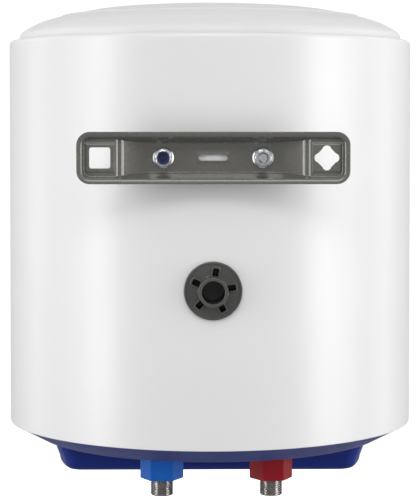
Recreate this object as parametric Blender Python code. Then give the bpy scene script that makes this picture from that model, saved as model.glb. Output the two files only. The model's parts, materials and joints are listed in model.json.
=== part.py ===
"""Wall-hung electric storage water heater, seen as an assembly of separate pieces.

World frame: the wall is the plane y = 0 and the heater hangs on its -y side, +z is up.
The origin lies on the middle of the bracket's upper flange. Everything but the bracket and
its nuts is parented to an empty on the heater's axis, at the height of the jacket's lower edge.
"""

import math

import bmesh
import bpy
from mathutils import Matrix, Vector

GAP = 0.0003  # between pieces that touch
LOOSE = 0.0005  # round a pin or a pipe in its hole
CLEAR = 0.0100  # how far a cutter runs on past what it opens
BIG_STEPS = 40  # round the jacket, lid, cap and tank
MID_STEPS = 24
SMALL_STEPS = 16

# Jacket and lid
JACKET_RADIUS = 0.1925
JACKET_HEIGHT = 0.3625
JACKET_SHEET = 0.0010
SHOULDER_RADIUS = 0.0045
LID_RADIUS = 0.1835
LID_WALL = 0.0020
LID_SIDE_HEIGHT = 0.0070
LID_CREASE_RADIUS = 0.1410
LID_CREASE_HEIGHT = 0.0235
LID_HEIGHT = 0.0345
LID_SHOULDER = ((0.0020, 0), (0.0075, 0.0037), (0.0195, 0.0098))  # in from its side, up from the side's top
LID_CROWN = ((0.0310, 0.0048), (0.0705, 0.0017))  # in from its crease, down from its highest point
LID_HOOK = 0.0035  # how far its rim reaches out under the jacket's top lip

# Wall bracket
WALL_GAP = 0.0200  # jacket to wall
BRACKET_LENGTH = 0.2330
BRACKET_HEIGHT = 0.0445
BRACKET_CORNER = 0.0114
BRACKET_SHEET = 0.0020
BRACKET_BELOW_RIM = 0.1080
FLANGE_WIDTH = 0.0042
BRACKET_DRAFT = math.radians(15)
PAD_DEPTH = 0.0055
PAD_INNER_X = 0.0830
STEP_INNER_X = 0.0770
STEP_DEPTH = 0.0085
BASE_HALF_LENGTH = 0.0570
HOOK_HOLE_SPACING = 0.1936
HOOK_HOLE_SIZE = 0.0179
HOOK_HOLE_CORNER = 0.0018
STAR_LOBE_RADIUS = 0.0040
SLOT_LENGTH = 0.0256
SLOT_WIDTH = 0.0052

# Studs and nuts that hold the bracket
STUD_SPACING = 0.0855
STUD_RADIUS = 0.0040
STUD_SHOULDER_RADIUS = 0.0060
SADDLE_THICKNESS = 0.0030
SADDLE_HEIGHT = 0.0500
SADDLE_HALF_STEPS = 3  # of the tank's facets
SADDLE_SIDE_GAP = 0.003  # radians, beside it in the foam
STUD_CHAMFER = 0.0008
NUT_ACROSS_FLATS = 0.0130
NUT_FLANGE_RADIUS = 0.00895
NUT_FLANGE_THICKNESS = 0.0020
PLAIN_NUT_HEIGHT = 0.0080
LOCK_NUT_HEIGHT = 0.0105
NYLON_RADIUS = 0.0054
NYLON_HEIGHT = 0.0022

# Wall spacer, which also plugs the foam filling hole
SPACER_BELOW_RIM = 0.2230
SPACER_RADIUS = 0.0254
SPACER_DISC = 0.0025
SPACER_CHAMFER = 0.0007
SPACER_RING_RADIUS = 0.0127
SPACER_BORE_RADIUS = 0.0100
SPACER_BARREL_RADIUS = 0.0225
SPACER_BARREL_DEPTH = 0.0180
SPACER_WALL = 0.0015
SPACER_SLOTS = 5
SPACER_SLOT_INNER = 0.0134
SPACER_SLOT_OUTER = 0.0199
SPACER_SLOT_WIDTH = 0.0054
SPACER_SLOT_TURN = math.radians(8)  # first slot, clockwise of straight up seen from the wall

# Inner tank
TANK_RADIUS = 0.1650
TANK_SHEET = 0.0018
TANK_END_DEPTH = 0.0480
TANK_LIFT = 0.0060  # lowest point of the tank above the jacket's lower edge
TANK_HEADROOM = 0.0205  # from the tank's highest point up to the jacket's rim
TANK_HOLE_RADIUS = 0.0340
DISH_POINTS = 5

# Flange at the tank's bottom, with what it carries
FLANGE_RADIUS = 0.0480
FLANGE_BORE = 0.0320
FLANGE_RING_THICKNESS = 0.0060
RING_RISE = 0.0007  # its top above the tank's lowest point
GASKET_THICKNESS = 0.0020
PLATE_THICKNESS = 0.0050
BOLT_COUNT = 5
BOLT_CIRCLE_RADIUS = 0.0405
BOLT_RADIUS = 0.0030
BOLT_ACROSS_FLATS = 0.0100
BOLT_HEAD = 0.0040
ELEMENT_TUBE_RADIUS = 0.0040
ELEMENT_HALF_SPAN = 0.0160
ELEMENT_HEIGHT = 0.2100
ELEMENT_Y = 0.0175
ELEMENT_TAIL = 0.0120
ANODE_RADIUS = 0.0070
ANODE_LENGTH = 0.1300
ANODE_CHAMFER = 0.0020
ANODE_Y = -0.0240
ANODE_STUD_RADIUS = 0.0025
ANODE_STUD_LENGTH = 0.0085
ANODE_NUT_ACROSS_FLATS = 0.0080
ANODE_NUT_HEIGHT = 0.0035
POCKET_RADIUS = 0.0050
POCKET_WALL = 0.0010
POCKET_LENGTH = 0.1700

# Thermostat, its knob and the reset button of its cut-out
THERMOSTAT_X = 0.0420
THERMOSTAT_Y = 0.0240
THERMOSTAT_HEIGHT = 0.0220
ROD_ROOT = 0.0040  # of the rod inside the body
SHAFT_RADIUS = 0.0030
SHAFT_SOCKET_DEPTH = 0.0120
KNOB_RADIUS = 0.0200
KNOB_HEIGHT = 0.0120
KNOB_WELL_GAP = 0.0020
KNOB_SKIRT = 0.0030
KNOB_TOP_GAP = 0.0008
RESET_RADIUS = 0.0022
RESET_X = 0.0150
RESET_LENGTH = 0.0050
RESET_SOCKET_DEPTH = 0.0080
RESET_TRAVEL_ROOM = 0.0030
RESET_STEM = 0.0010

# Bottom cap: a cone, a ledge, and a D-shaped drum in front with a flat rear wall
CAP_WALL = 0.0022
CAP_SPIGOT = 0.0080
CAP_FOAM_GAP = 0.0012
CAP_JACKET_GAP = 0.0009
CAP_LEDGE_RADIUS = 0.1630
CAP_LEDGE_DEPTH = 0.0150
DRUM_RADIUS = 0.1530
DRUM_REAR = 0.0585
DRUM_DEPTH = 0.0436
DRUM_DRAFT = math.radians(20)
DRUM_REAR_DRAFT = math.radians(5)
DRUM_CORNER = 0.0120
DRUM_BOTTOM_RADIUS = 0.0080
DRUM_WELL_DEPTH = 0.0096
BOSS_LENGTH = 0.1580
BOSS_WIDTH = 0.0500
BOSS_HEIGHT = 0.0015

# Pipe connections, half-inch parallel male threads
PIPE_SPACING = 0.1000
PIPE_PAIR_X = -0.0045  # the pair's middle beside the bracket's middle
PIPE_Y = 0.1010
PIPE_RADIUS = 0.010478
PIPE_BORE = 0.0075
PIPE_BELOW_COLLAR = 0.0152
PIPE_CHAMFER = 0.0010
PIPE_TOP = 0.0320
COLLAR_ACROSS_FLATS = 0.0345
COLLAR_HEIGHT = 0.0242
COLLAR_TURN = math.radians(4)  # the hot collar stands a little turned
DIFFUSER_RADIUS = 0.0140
DIFFUSER_HEIGHT = 0.0200
DIFFUSER_TRIM = 0.0040
DIFFUSER_ROOF = 0.0030
DIFFUSER_WINDOW = 0.0080
RISER_WALL = 0.0012
RISER_BELOW_TOP = 0.0270  # under the tank's highest point

# Electrics in the cap
TERMINAL_SIZE = (0.0340, 0.0180, 0.0130)
TERMINAL_WELL_RADIUS = 0.0022
TERMINAL_WELL_DEPTH = 0.0040
TERMINAL_PLACE = (0.0760, -0.0150)
GLAND_PLACE = (0.0760, -0.0600)
GLAND_RADIUS = 0.0100
GLAND_THREAD_RADIUS = 0.0075
GLAND_BORE = 0.0040
GLAND_HEAD = 0.0060
GLAND_CHAMFER = 0.0020
GLAND_NUT = 0.0050
LAMP_PLACE = (-0.0480, -0.0700)
LAMP_RADIUS = 0.0050
LAMP_LENS_RADIUS = 0.0065
LAMP_LENS_DROP = 0.0022
LAMP_BODY_HEIGHT = 0.0160
WIRE_RADIUS = 0.0011
WIRE_GAP = 0.0008  # at a wire's two ends, whose faces may lie a little askew
CAP_SCREW_ANGLES = (-20, -90, -160)
CAP_SCREW_HEIGHT = 0.0040  # above the jacket's lower edge
CAP_SCREW_RADIUS = 0.0018
CAP_SCREW_HEAD_RADIUS = 0.0037
CAP_SCREW_HEAD = 0.0018
CAP_SCREW_LENGTH = 0.0048

SADDLE_HALF_ANGLE = SADDLE_HALF_STEPS * math.tau / BIG_STEPS
BRACKET_Z = (FLANGE_WIDTH - BRACKET_HEIGHT) / 2
AXIS_Y = -WALL_GAP - JACKET_RADIUS
JACKET_BOTTOM_Z = BRACKET_Z + BRACKET_BELOW_RIM - JACKET_HEIGHT
BASE_DEPTH = WALL_GAP - GAP - BRACKET_SHEET
FOAM_RADIUS = JACKET_RADIUS - JACKET_SHEET - GAP
FOAM_TOP = JACKET_HEIGHT - SHOULDER_RADIUS - GAP
SPIGOT_RADIUS = JACKET_RADIUS - JACKET_SHEET - CAP_JACKET_GAP
FOAM_BOTTOM = CAP_WALL + GAP
FOAM_NECK = FLANGE_RADIUS + 0.0035
TANK_EDGE = TANK_LIFT + TANK_END_DEPTH
TANK_TOP = JACKET_HEIGHT - TANK_HEADROOM
TANK_TOP_EDGE = TANK_TOP - TANK_END_DEPTH
RISER_TOP = TANK_TOP - RISER_BELOW_TOP
SADDLE_Z = JACKET_HEIGHT - BRACKET_BELOW_RIM
SPACER_Z = JACKET_HEIGHT - SPACER_BELOW_RIM
RING_TOP = TANK_LIFT + RING_RISE
RING_BOTTOM = RING_TOP - FLANGE_RING_THICKNESS
PLATE_TOP = RING_BOTTOM - 2 * GAP - GASKET_THICKNESS
PLATE_BOTTOM = PLATE_TOP - PLATE_THICKNESS
THERMOSTAT_TOP = PLATE_BOTTOM - GAP
THERMOSTAT_BOTTOM = THERMOSTAT_TOP - THERMOSTAT_HEIGHT
COLLAR_TOP = -CAP_LEDGE_DEPTH - BOSS_HEIGHT - GAP
COLLAR_BOTTOM = COLLAR_TOP - COLLAR_HEIGHT
PIPE_END = COLLAR_BOTTOM - PIPE_BELOW_COLLAR
CAP_FLOOR = CAP_WALL - DRUM_DEPTH
WELL_ROOF = DRUM_WELL_DEPTH - DRUM_DEPTH
COLD_X = PIPE_PAIR_X + PIPE_SPACING / 2
HOT_X = PIPE_PAIR_X - PIPE_SPACING / 2

PAINTED = (0.80, 0.81, 0.82), 0.30, 0.0
BLUE_CAP = (0.05, 0.06, 0.17), 0.45, 0.0
STEEL = (0.55, 0.55, 0.54), 0.35, 1.0
GREY_PAINT = (0.13, 0.13, 0.11), 0.40, 0.3
ENAMEL = (0.05, 0.09, 0.13), 0.35, 0.0
BRASS = (0.70, 0.52, 0.25), 0.35, 1.0
MAGNESIUM = (0.50, 0.50, 0.50), 0.60, 1.0


def clearScene():
    for item in list(bpy.data.objects):
        bpy.data.objects.remove(item, do_unlink=True)


def material(name, look):
    color, roughness, metallic = look
    made = bpy.data.materials.new(name)
    made.use_nodes = True
    shader = made.node_tree.nodes["Principled BSDF"]
    shader.inputs["Base Color"].default_value = (*color, 1)
    shader.inputs["Roughness"].default_value = roughness
    shader.inputs["Metallic"].default_value = metallic
    return made


def finish(name, bm, look=None, parent=None, place=(0, 0, 0), turn=(0, 0, 0)):
    """The object made of bm, shaded smooth but for its sharp edges; without a look, a cutter."""
    bmesh.ops.remove_doubles(bm, verts=bm.verts, dist=1e-6)
    bmesh.ops.recalc_face_normals(bm, faces=bm.faces)
    mesh = bpy.data.meshes.new(name)
    bm.to_mesh(mesh)
    bm.free()
    mesh.shade_smooth()
    mesh.set_sharp_from_angle(angle=math.radians(35))
    made = bpy.data.objects.new(name, mesh)
    bpy.context.collection.objects.link(made)
    made.parent = parent
    made.location = place
    made.rotation_euler = turn
    if look:
        mesh.materials.append(material(name, look))
    else:
        made.hide_render = True
        made.display_type = "WIRE"
    return made


def addTurned(bm, profile, steps, closed=False, matrix=Matrix()):
    """Spins a profile of (radius, height) points round z. One that isn't closed ends on the axis."""
    verts = [bm.verts.new(matrix @ Vector((radius, 0, height))) for radius, height in profile]
    pairs = zip(verts, verts[1:] + verts[:1]) if closed else zip(verts, verts[1:])
    edges = [bm.edges.new(pair) for pair in pairs]
    centre = matrix @ Vector()
    axis = matrix.to_3x3() @ Vector((0, 0, 1))
    bmesh.ops.spin(
        bm, geom=verts + edges, cent=centre, axis=axis, angle=math.tau, steps=steps, use_merge=True
    )


def turned(name, profile, look=None, steps=BIG_STEPS, closed=False, **where):
    bm = bmesh.new()
    addTurned(bm, profile, steps, closed)
    return finish(name, bm, look, **where)


def addPrism(bm, outline, low, high, matrix=Matrix()):
    """Extrudes an outline of (x, y) points from height low to height high."""
    lower = [bm.verts.new(matrix @ Vector((x, y, low))) for x, y in outline]
    upper = [bm.verts.new(matrix @ Vector((x, y, high))) for x, y in outline]
    bm.faces.new(lower)
    bm.faces.new(upper)
    count = len(outline)
    for i in range(count):
        after = (i + 1) % count
        bm.faces.new((lower[i], lower[after], upper[after], upper[i]))


def prism(name, outline, low, high, look=None, **where):
    bm = bmesh.new()
    addPrism(bm, outline, low, high)
    return finish(name, bm, look, **where)


def circle(radius, steps, centre=(0, 0), start=0.0):
    angles = [start + math.tau * i / steps for i in range(steps)]
    return [(centre[0] + radius * math.cos(a), centre[1] + radius * math.sin(a)) for a in angles]


def hexagon(acrossFlats, start=0.0):
    return circle(acrossFlats / math.sqrt(3), 6, start=start)


def roundedBox(width, height, corner, steps=3, centre=(0, 0)):
    """A rectangle with round corners, counter-clockwise from the right side's top."""
    points = []
    for quarter in range(4):
        middle = math.pi / 4 + quarter * math.pi / 2
        cornerX = math.copysign(width / 2 - corner, math.cos(middle))
        cornerY = math.copysign(height / 2 - corner, math.sin(middle))
        for i in range(steps + 1):
            angle = quarter * math.pi / 2 + i / steps * math.pi / 2
            x = centre[0] + cornerX + corner * math.cos(angle)
            y = centre[1] + cornerY + corner * math.sin(angle)
            points.append((x, y))
    return points


def ringProfile(inner, outer, low, high):
    return [(inner, low), (outer, low), (outer, high), (inner, high)]


def cut(target, *cutters, operation="DIFFERENCE"):
    for cutter in cutters:
        step = target.modifiers.new(cutter.name, "BOOLEAN")
        step.operation = operation
        step.solver = "EXACT"
        step.object = cutter


def alongY(x, y, z):
    """Places a shape turned round z so that it is turned round y instead, pointing at the wall."""
    return Matrix.Translation((x, y, z)) @ Matrix.Rotation(-math.pi / 2, 4, "X")


def rods(name, given, parent=None):
    """A cutter of round rods, each (matrix, radius, low, high, steps)."""
    bm = bmesh.new()
    for matrix, radius, low, high, steps in given:
        addTurned(bm, [(0, low), (radius, low), (radius, high), (0, high)], steps, matrix=matrix)
    return finish(name, bm, parent=parent)


def stitch(bm, loops, closed):
    """Quads between each loop of points and the next one."""
    rings = [[bm.verts.new(point) for point in loop] for loop in loops]
    following = rings[1:] + rings[:1] if closed else rings[1:]
    for ring, after in zip(rings, following):
        for i in range(len(ring)):
            j = (i + 1) % len(ring)
            bm.faces.new((ring[i], ring[j], after[j], after[i]))
    return rings


def arc(centreX, centreY, radius, first, last, steps):
    """Points on an arc, from angle first to angle last in degrees."""
    turns = [math.radians(first + (last - first) * i / steps) for i in range(steps + 1)]
    return [(centreX + radius * math.cos(a), centreY + radius * math.sin(a)) for a in turns]


# Wall bracket


def floorDepth(x):
    """How deep the bracket's floor lies behind its flange at x."""
    stations = [
        (BASE_HALF_LENGTH, BASE_DEPTH),
        (STEP_INNER_X, STEP_DEPTH),
        (PAD_INNER_X, PAD_DEPTH),
    ]
    reach = abs(x)
    if reach <= BASE_HALF_LENGTH:
        return BASE_DEPTH
    for (nearX, nearDepth), (farX, farDepth) in zip(stations, stations[1:]):
        if reach <= farX:
            return nearDepth + (farDepth - nearDepth) * (reach - nearX) / (farX - nearX)
    return PAD_DEPTH


def bracketOutline():
    """(x, z, inward x, inward z) round the bracket, mirrored top to bottom, with no point
    between the corners of its two ends, so that the floor can be bridged in strips."""
    halfLength = BRACKET_LENGTH / 2 - BRACKET_CORNER
    halfHeight = BRACKET_HEIGHT / 2 - BRACKET_CORNER
    top = []
    for angle in range(0, 91, 15):
        turn = math.radians(angle)
        x = halfLength + BRACKET_CORNER * math.cos(turn)
        z = halfHeight + BRACKET_CORNER * math.sin(turn)
        top.append((x, z, -math.cos(turn), -math.sin(turn)))
    for x in (PAD_INNER_X, STEP_INNER_X, BASE_HALF_LENGTH):
        top.append((x, BRACKET_HEIGHT / 2, 0, -1))
    top += [(-x, z, -inX, inZ) for x, z, inX, inZ in reversed(top)]
    return top + [(x, -z, inX, -inZ) for x, z, inX, inZ in reversed(top)]


def bracketLoop(outline, inset, depth):
    """The outline moved inwards, at a depth behind the wall plane; both are functions of x."""
    points = []
    for x, z, inX, inZ in outline:
        inward = inset(x)
        points.append((x + inX * inward, -depth(x), z + inZ * inward))
    return points


def wallBracket():
    outline = bracketOutline()
    slope = math.tan(BRACKET_DRAFT)
    back = FLANGE_WIDTH - BRACKET_SHEET / math.cos(BRACKET_DRAFT)
    loops = [
        bracketLoop(outline, lambda x: FLANGE_WIDTH + floorDepth(x) * slope, floorDepth),
        bracketLoop(outline, lambda x: FLANGE_WIDTH, lambda x: 0),
        bracketLoop(outline, lambda x: 0, lambda x: 0),
        bracketLoop(outline, lambda x: 0, lambda x: BRACKET_SHEET),
        bracketLoop(outline, lambda x: back + BRACKET_SHEET * slope, lambda x: BRACKET_SHEET),
        bracketLoop(
            outline,
            lambda x: back + (floorDepth(x) + BRACKET_SHEET) * slope,
            lambda x: floorDepth(x) + BRACKET_SHEET,
        ),
    ]
    bm = bmesh.new()
    rings = stitch(bm, loops, closed=False)
    half = len(outline) // 2
    for ring in (rings[0], rings[-1]):
        upper = ring[:half]
        lower = ring[: half - 1 : -1]
        for i in range(half - 1):
            bm.faces.new((upper[i], upper[i + 1], lower[i + 1], lower[i]))
    place = (0, 0, BRACKET_Z)
    bracket = finish("wall_bracket", bm, GREY_PAINT, place=place)

    holes = bmesh.new()
    reach = PAD_DEPTH + 2 * BRACKET_SHEET
    hookX = HOOK_HOLE_SPACING / 2
    upright = Matrix.Rotation(math.pi / 2, 4, "X")
    square = roundedBox(HOOK_HOLE_SIZE, HOOK_HOLE_SIZE, HOOK_HOLE_CORNER, 2, (hookX, 0))
    addPrism(holes, square, BRACKET_SHEET, reach, upright)
    addPrism(holes, starOutline(-hookX), BRACKET_SHEET, reach, upright)
    slot = roundedBox(SLOT_LENGTH, SLOT_WIDTH, SLOT_WIDTH / 2 - 1e-5, 4)
    addPrism(holes, slot, BASE_DEPTH - BRACKET_SHEET, WALL_GAP + BRACKET_SHEET, upright)
    for side in (-1, 1):
        bolt = circle(STUD_RADIUS + LOOSE, SMALL_STEPS, (side * STUD_SPACING / 2, 0))
        addPrism(holes, bolt, BASE_DEPTH - BRACKET_SHEET, WALL_GAP + BRACKET_SHEET, upright)
    cut(bracket, finish("bracket_holes", holes, place=place))


def starOutline(centreX):
    """Four round lobes, up, down and to both sides, joined by straight edges."""
    reach = HOOK_HOLE_SIZE / 2 * math.sqrt(2) * 0.84 - STAR_LOBE_RADIUS
    points = []
    for lobe in range(4):
        middle = lobe * 90
        lobeX = centreX + reach * math.cos(math.radians(middle))
        lobeY = reach * math.sin(math.radians(middle))
        points += arc(lobeX, lobeY, STAR_LOBE_RADIUS, middle - 75, middle + 75, 4)
    return points


# Studs, saddle and nuts


def saddle(axis):
    """The strap on the tank that the two studs are welded to."""
    low = SADDLE_Z - SADDLE_HEIGHT / 2
    inner = TANK_RADIUS + GAP
    outline = bandOutline(inner, inner + SADDLE_THICKNESS, SADDLE_HALF_ANGLE)
    return prism("stud_saddle", outline, low, low + SADDLE_HEIGHT, STEEL, parent=axis)


def bandOutline(inner, outer, halfAngle, steps=2 * SADDLE_HALF_STEPS):
    """A band of a ring, centred on the rear."""
    half = math.degrees(halfAngle)
    near = arc(0, 0, outer, 90 - half, 90 + half, steps)
    return near + arc(0, 0, inner, 90 + half, 90 - half, steps)


def studPlaces():
    return [("left", STUD_SPACING / 2), ("right", -STUD_SPACING / 2)]


def studStart():
    """Where a stud's foot clears the saddle, from the heater's axis."""
    outside = TANK_RADIUS + GAP + SADDLE_THICKNESS
    return math.sqrt(outside**2 - (STUD_SPACING / 2 - STUD_SHOULDER_RADIUS) ** 2) + GAP


def studs():
    foot = JACKET_RADIUS + WALL_GAP - studStart()
    shoulder = BASE_DEPTH + BRACKET_SHEET + GAP
    ends = {
        "left": BASE_DEPTH - GAP - LOCK_NUT_HEIGHT + NYLON_HEIGHT + 2 * GAP,
        "right": BASE_DEPTH - GAP - PLAIN_NUT_HEIGHT - STUD_CHAMFER,
    }
    for side, x in studPlaces():
        profile = [
            (0, -foot),
            (STUD_SHOULDER_RADIUS, -foot),
            (STUD_SHOULDER_RADIUS, -shoulder),
            (STUD_RADIUS, -shoulder),
            (STUD_RADIUS, -ends[side] - STUD_CHAMFER),
            (STUD_RADIUS - STUD_CHAMFER, -ends[side]),
            (0, -ends[side]),
        ]
        stud = turned(f"bracket_stud_{side}", profile, STEEL, SMALL_STEPS)
        stud.matrix_world = alongY(x, 0, BRACKET_Z)


def nut(name, x, height, seat):
    """A flange nut; seat is the depth and radius of the pocket for a nylon ring in its top."""
    bore = STUD_RADIUS + GAP
    flange = ringProfile(bore, NUT_FLANGE_RADIUS, GAP, GAP + NUT_FLANGE_THICKNESS)
    made = turned(name, flange, STEEL, MID_STEPS, closed=True)
    made.matrix_world = alongY(x, -BASE_DEPTH, BRACKET_Z)
    blank = prism(f"{name}_hexagon", hexagon(NUT_ACROSS_FLATS), 2 * GAP, GAP + height)
    blank.matrix_world = made.matrix_world
    rodsMade = [(Matrix(), bore, -height, 2 * height, SMALL_STEPS)]
    if seat:
        rodsMade.append((Matrix(), seat[1], height + GAP - seat[0], 2 * height, SMALL_STEPS))
    hollow = rods(f"{name}_bore", rodsMade[:1])
    hollow.matrix_world = made.matrix_world
    cut(made, blank, operation="UNION")
    cut(made, hollow)
    if seat:
        pocket = rods(f"{name}_pocket", rodsMade[1:])
        pocket.matrix_world = made.matrix_world
        cut(made, pocket)


def nuts():
    (_, leftX), (_, rightX) = studPlaces()
    nut("flange_nut_lock", leftX, LOCK_NUT_HEIGHT, (NYLON_HEIGHT, NYLON_RADIUS))
    nut("flange_nut_plain", rightX, PLAIN_NUT_HEIGHT, None)
    low = LOCK_NUT_HEIGHT - NYLON_HEIGHT + 2 * GAP
    ring = ringProfile(STUD_RADIUS - GAP, NYLON_RADIUS - GAP, low, LOCK_NUT_HEIGHT + GAP)
    nylon = turned("nylon_ring", ring, ((0.02, 0.03, 0.25), 0.5, 0.0), SMALL_STEPS, closed=True)
    nylon.matrix_world = alongY(leftX, -BASE_DEPTH, BRACKET_Z)


# Jacket, lid and foam


def jacket(axis):
    middle = JACKET_RADIUS - SHOULDER_RADIUS
    shoulderZ = JACKET_HEIGHT - SHOULDER_RADIUS
    lip = LID_RADIUS + GAP
    outside = arc(middle, shoulderZ, SHOULDER_RADIUS, 0, 90, 3)
    inside = arc(middle, shoulderZ, SHOULDER_RADIUS - JACKET_SHEET, 90, 0, 3)
    profile = [(JACKET_RADIUS, 0), *outside, (lip, JACKET_HEIGHT)]
    profile += [(lip, JACKET_HEIGHT - JACKET_SHEET), *inside, (JACKET_RADIUS - JACKET_SHEET, 0)]
    made = turned("outer_jacket", profile, PAINTED, closed=True, parent=axis)
    low, high = JACKET_RADIUS - WALL_GAP, JACKET_RADIUS + WALL_GAP
    holes = [(alongY(0, 0, SPACER_Z), SPACER_BARREL_RADIUS + LOOSE, low, high, MID_STEPS)]
    for _, x in studPlaces():
        holes.append((alongY(x, 0, SADDLE_Z), STUD_SHOULDER_RADIUS + LOOSE, low, high, SMALL_STEPS))
    holes += screwHoles()
    cut(made, rods("jacket_holes", holes, axis))


def lid(axis):
    """A domed lid with a steep side, whose rim hooks under the jacket's top lip."""
    base = JACKET_HEIGHT
    hookTop = base - JACKET_SHEET - GAP
    hook = LID_RADIUS + LID_HOOK
    side = LID_RADIUS - LID_WALL
    outer = [
        (LID_RADIUS, hookTop),
        (LID_RADIUS, base + GAP),
        *((LID_RADIUS - inset, base + LID_SIDE_HEIGHT + rise) for inset, rise in LID_SHOULDER),
        (LID_CREASE_RADIUS, base + LID_CREASE_HEIGHT),
        *((LID_CREASE_RADIUS - inset, base + LID_HEIGHT - drop) for inset, drop in LID_CROWN),
        (0, base + LID_HEIGHT),
    ]
    inner = [(max(radius - LID_WALL, 0), height - LID_WALL) for radius, height in outer[3:]]
    profile = [(0, inner[-1][1]), *reversed(inner[:-1])]
    profile += [(side, base + LID_SIDE_HEIGHT - LID_WALL), (side, hookTop - LID_WALL)]
    profile += [(hook, hookTop - LID_WALL), (hook, hookTop), *outer]
    turned("top_lid", profile, PAINTED, parent=axis)


def dish(radius, depth, edge, down):
    """Points of a tank end from its edge to its pole."""
    points = []
    for i in range(DISH_POINTS):
        turn = i / (DISH_POINTS - 1) * math.pi / 2
        rise = depth * math.sin(turn)
        points.append((radius * math.cos(turn), edge - rise if down else edge + rise))
    points[-1] = (0, points[-1][1])
    return points


def foam(axis):
    """Foam between the jacket and the tank, open at the neck round the flange."""
    above = dish(TANK_RADIUS + GAP, TANK_END_DEPTH + GAP, TANK_TOP_EDGE, False)
    below = dish(TANK_RADIUS + GAP, TANK_END_DEPTH + GAP, TANK_EDGE, True)
    below = [point for point in below if point[0] > FOAM_NECK]
    neck = dishHeight(FOAM_NECK) - GAP
    spigot = SPIGOT_RADIUS - CAP_WALL - CAP_FOAM_GAP
    profile = [(0, FOAM_TOP), (FOAM_RADIUS, FOAM_TOP), (FOAM_RADIUS, CAP_SPIGOT + GAP)]
    profile += [(spigot, CAP_SPIGOT + GAP), (spigot, FOAM_BOTTOM)]
    profile += [(FOAM_NECK, FOAM_BOTTOM), (FOAM_NECK, neck)]
    profile += [*reversed(below), *above]
    made = turned("foam_insulation", profile, ((0.75, 0.68, 0.45), 0.9, 0.0), parent=axis)
    holes = []
    for _, x in studPlaces():
        hole = alongY(x, 0, SADDLE_Z)
        radius = STUD_SHOULDER_RADIUS + GAP
        holes.append((hole, radius, studStart() - GAP, JACKET_RADIUS, SMALL_STEPS))
    pocketFloor = JACKET_RADIUS - SPACER_BARREL_DEPTH - 2 * GAP
    pocket = SPACER_BARREL_RADIUS + LOOSE
    holes.append((alongY(0, 0, SPACER_Z), pocket, pocketFloor, JACKET_RADIUS, MID_STEPS))
    low = SADDLE_Z - SADDLE_HEIGHT / 2 - GAP
    reach = TANK_RADIUS + SADDLE_THICKNESS + 2 * GAP
    outline = bandOutline(TANK_RADIUS - GAP, reach, SADDLE_HALF_ANGLE + SADDLE_SIDE_GAP)
    saddlePocket = prism("saddle_pocket", outline, low, low + SADDLE_HEIGHT + 2 * GAP, parent=axis)
    cut(made, rods("foam_wall_holes", holes, axis), saddlePocket)
    cut(made, rods("foam_pipe_holes", pipeHoles(PIPE_RADIUS + GAP, -CLEAR, TANK_EDGE), axis))


def dishHeight(radius):
    """Height of the tank's outer bottom at a radius."""
    return TANK_EDGE - TANK_END_DEPTH * math.sqrt(1 - (radius / TANK_RADIUS) ** 2)


def pipeHoles(radius, low, high):
    return [(Matrix.Translation((x, PIPE_Y, 0)), radius, low, high, MID_STEPS) for x in (COLD_X, HOT_X)]


def screwHoles():
    """Holes for the cap's screws, through the jacket's lower edge and the cap's spigot."""
    holes = []
    for angle in CAP_SCREW_ANGLES:
        holes.append((screwMatrix(angle), CAP_SCREW_RADIUS + GAP, -2 * CLEAR, 2 * CLEAR, 12))
    return holes


def screwMatrix(angle):
    """At the jacket's face, pointing outwards, level."""
    turn = math.radians(angle)
    outward = Vector((math.cos(turn), math.sin(turn), 0))
    facing = outward.to_track_quat("Z", "Y").to_matrix().to_4x4()
    place = JACKET_RADIUS * outward + Vector((0, 0, CAP_SCREW_HEIGHT))
    return Matrix.Translation(place) @ facing


def capScrews(axis):
    profile = [
        (0, -CAP_SCREW_LENGTH),
        (CAP_SCREW_RADIUS, -CAP_SCREW_LENGTH + 0.002),
        (CAP_SCREW_RADIUS, GAP),
        (CAP_SCREW_HEAD_RADIUS, GAP),
        (CAP_SCREW_HEAD_RADIUS * 0.9, GAP + CAP_SCREW_HEAD * 0.6),
        (0, GAP + CAP_SCREW_HEAD),
    ]
    for i, angle in enumerate(CAP_SCREW_ANGLES):
        screw = turned(f"cap_screw_{i + 1}", profile, STEEL, 12, parent=axis)
        screw.matrix_local = screwMatrix(angle)


# Tank


def tank(axis):
    inner = TANK_RADIUS - TANK_SHEET
    shell = ringProfile(inner, TANK_RADIUS, TANK_EDGE + GAP, TANK_TOP_EDGE - GAP)
    turned("tank_shell", shell, ENAMEL, closed=True, parent=axis)
    depth = TANK_END_DEPTH - TANK_SHEET
    upper = reversed(dish(TANK_RADIUS, TANK_END_DEPTH, TANK_TOP_EDGE, False))
    upper = [*upper, *dish(inner, depth, TANK_TOP_EDGE, False)]
    turned("tank_top_end", upper, ENAMEL, parent=axis)
    lower = reversed(dish(TANK_RADIUS, TANK_END_DEPTH, TANK_EDGE, True))
    lower = [*lower, *dish(inner, depth, TANK_EDGE, True)]
    bottom = turned("tank_bottom_end", lower, ENAMEL, parent=axis)
    holes = pipeHoles(PIPE_RADIUS + GAP, 0, TANK_EDGE)
    holes.append((Matrix(), TANK_HOLE_RADIUS, -CLEAR, TANK_EDGE / 2, MID_STEPS))
    cut(bottom, rods("tank_holes", holes, axis))


def boltMatrices():
    for i in range(BOLT_COUNT):
        turn = math.radians(90) + math.tau * i / BOLT_COUNT
        place = Vector((math.cos(turn), math.sin(turn), 0)) * BOLT_CIRCLE_RADIUS
        yield Matrix.Translation(place)


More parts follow.
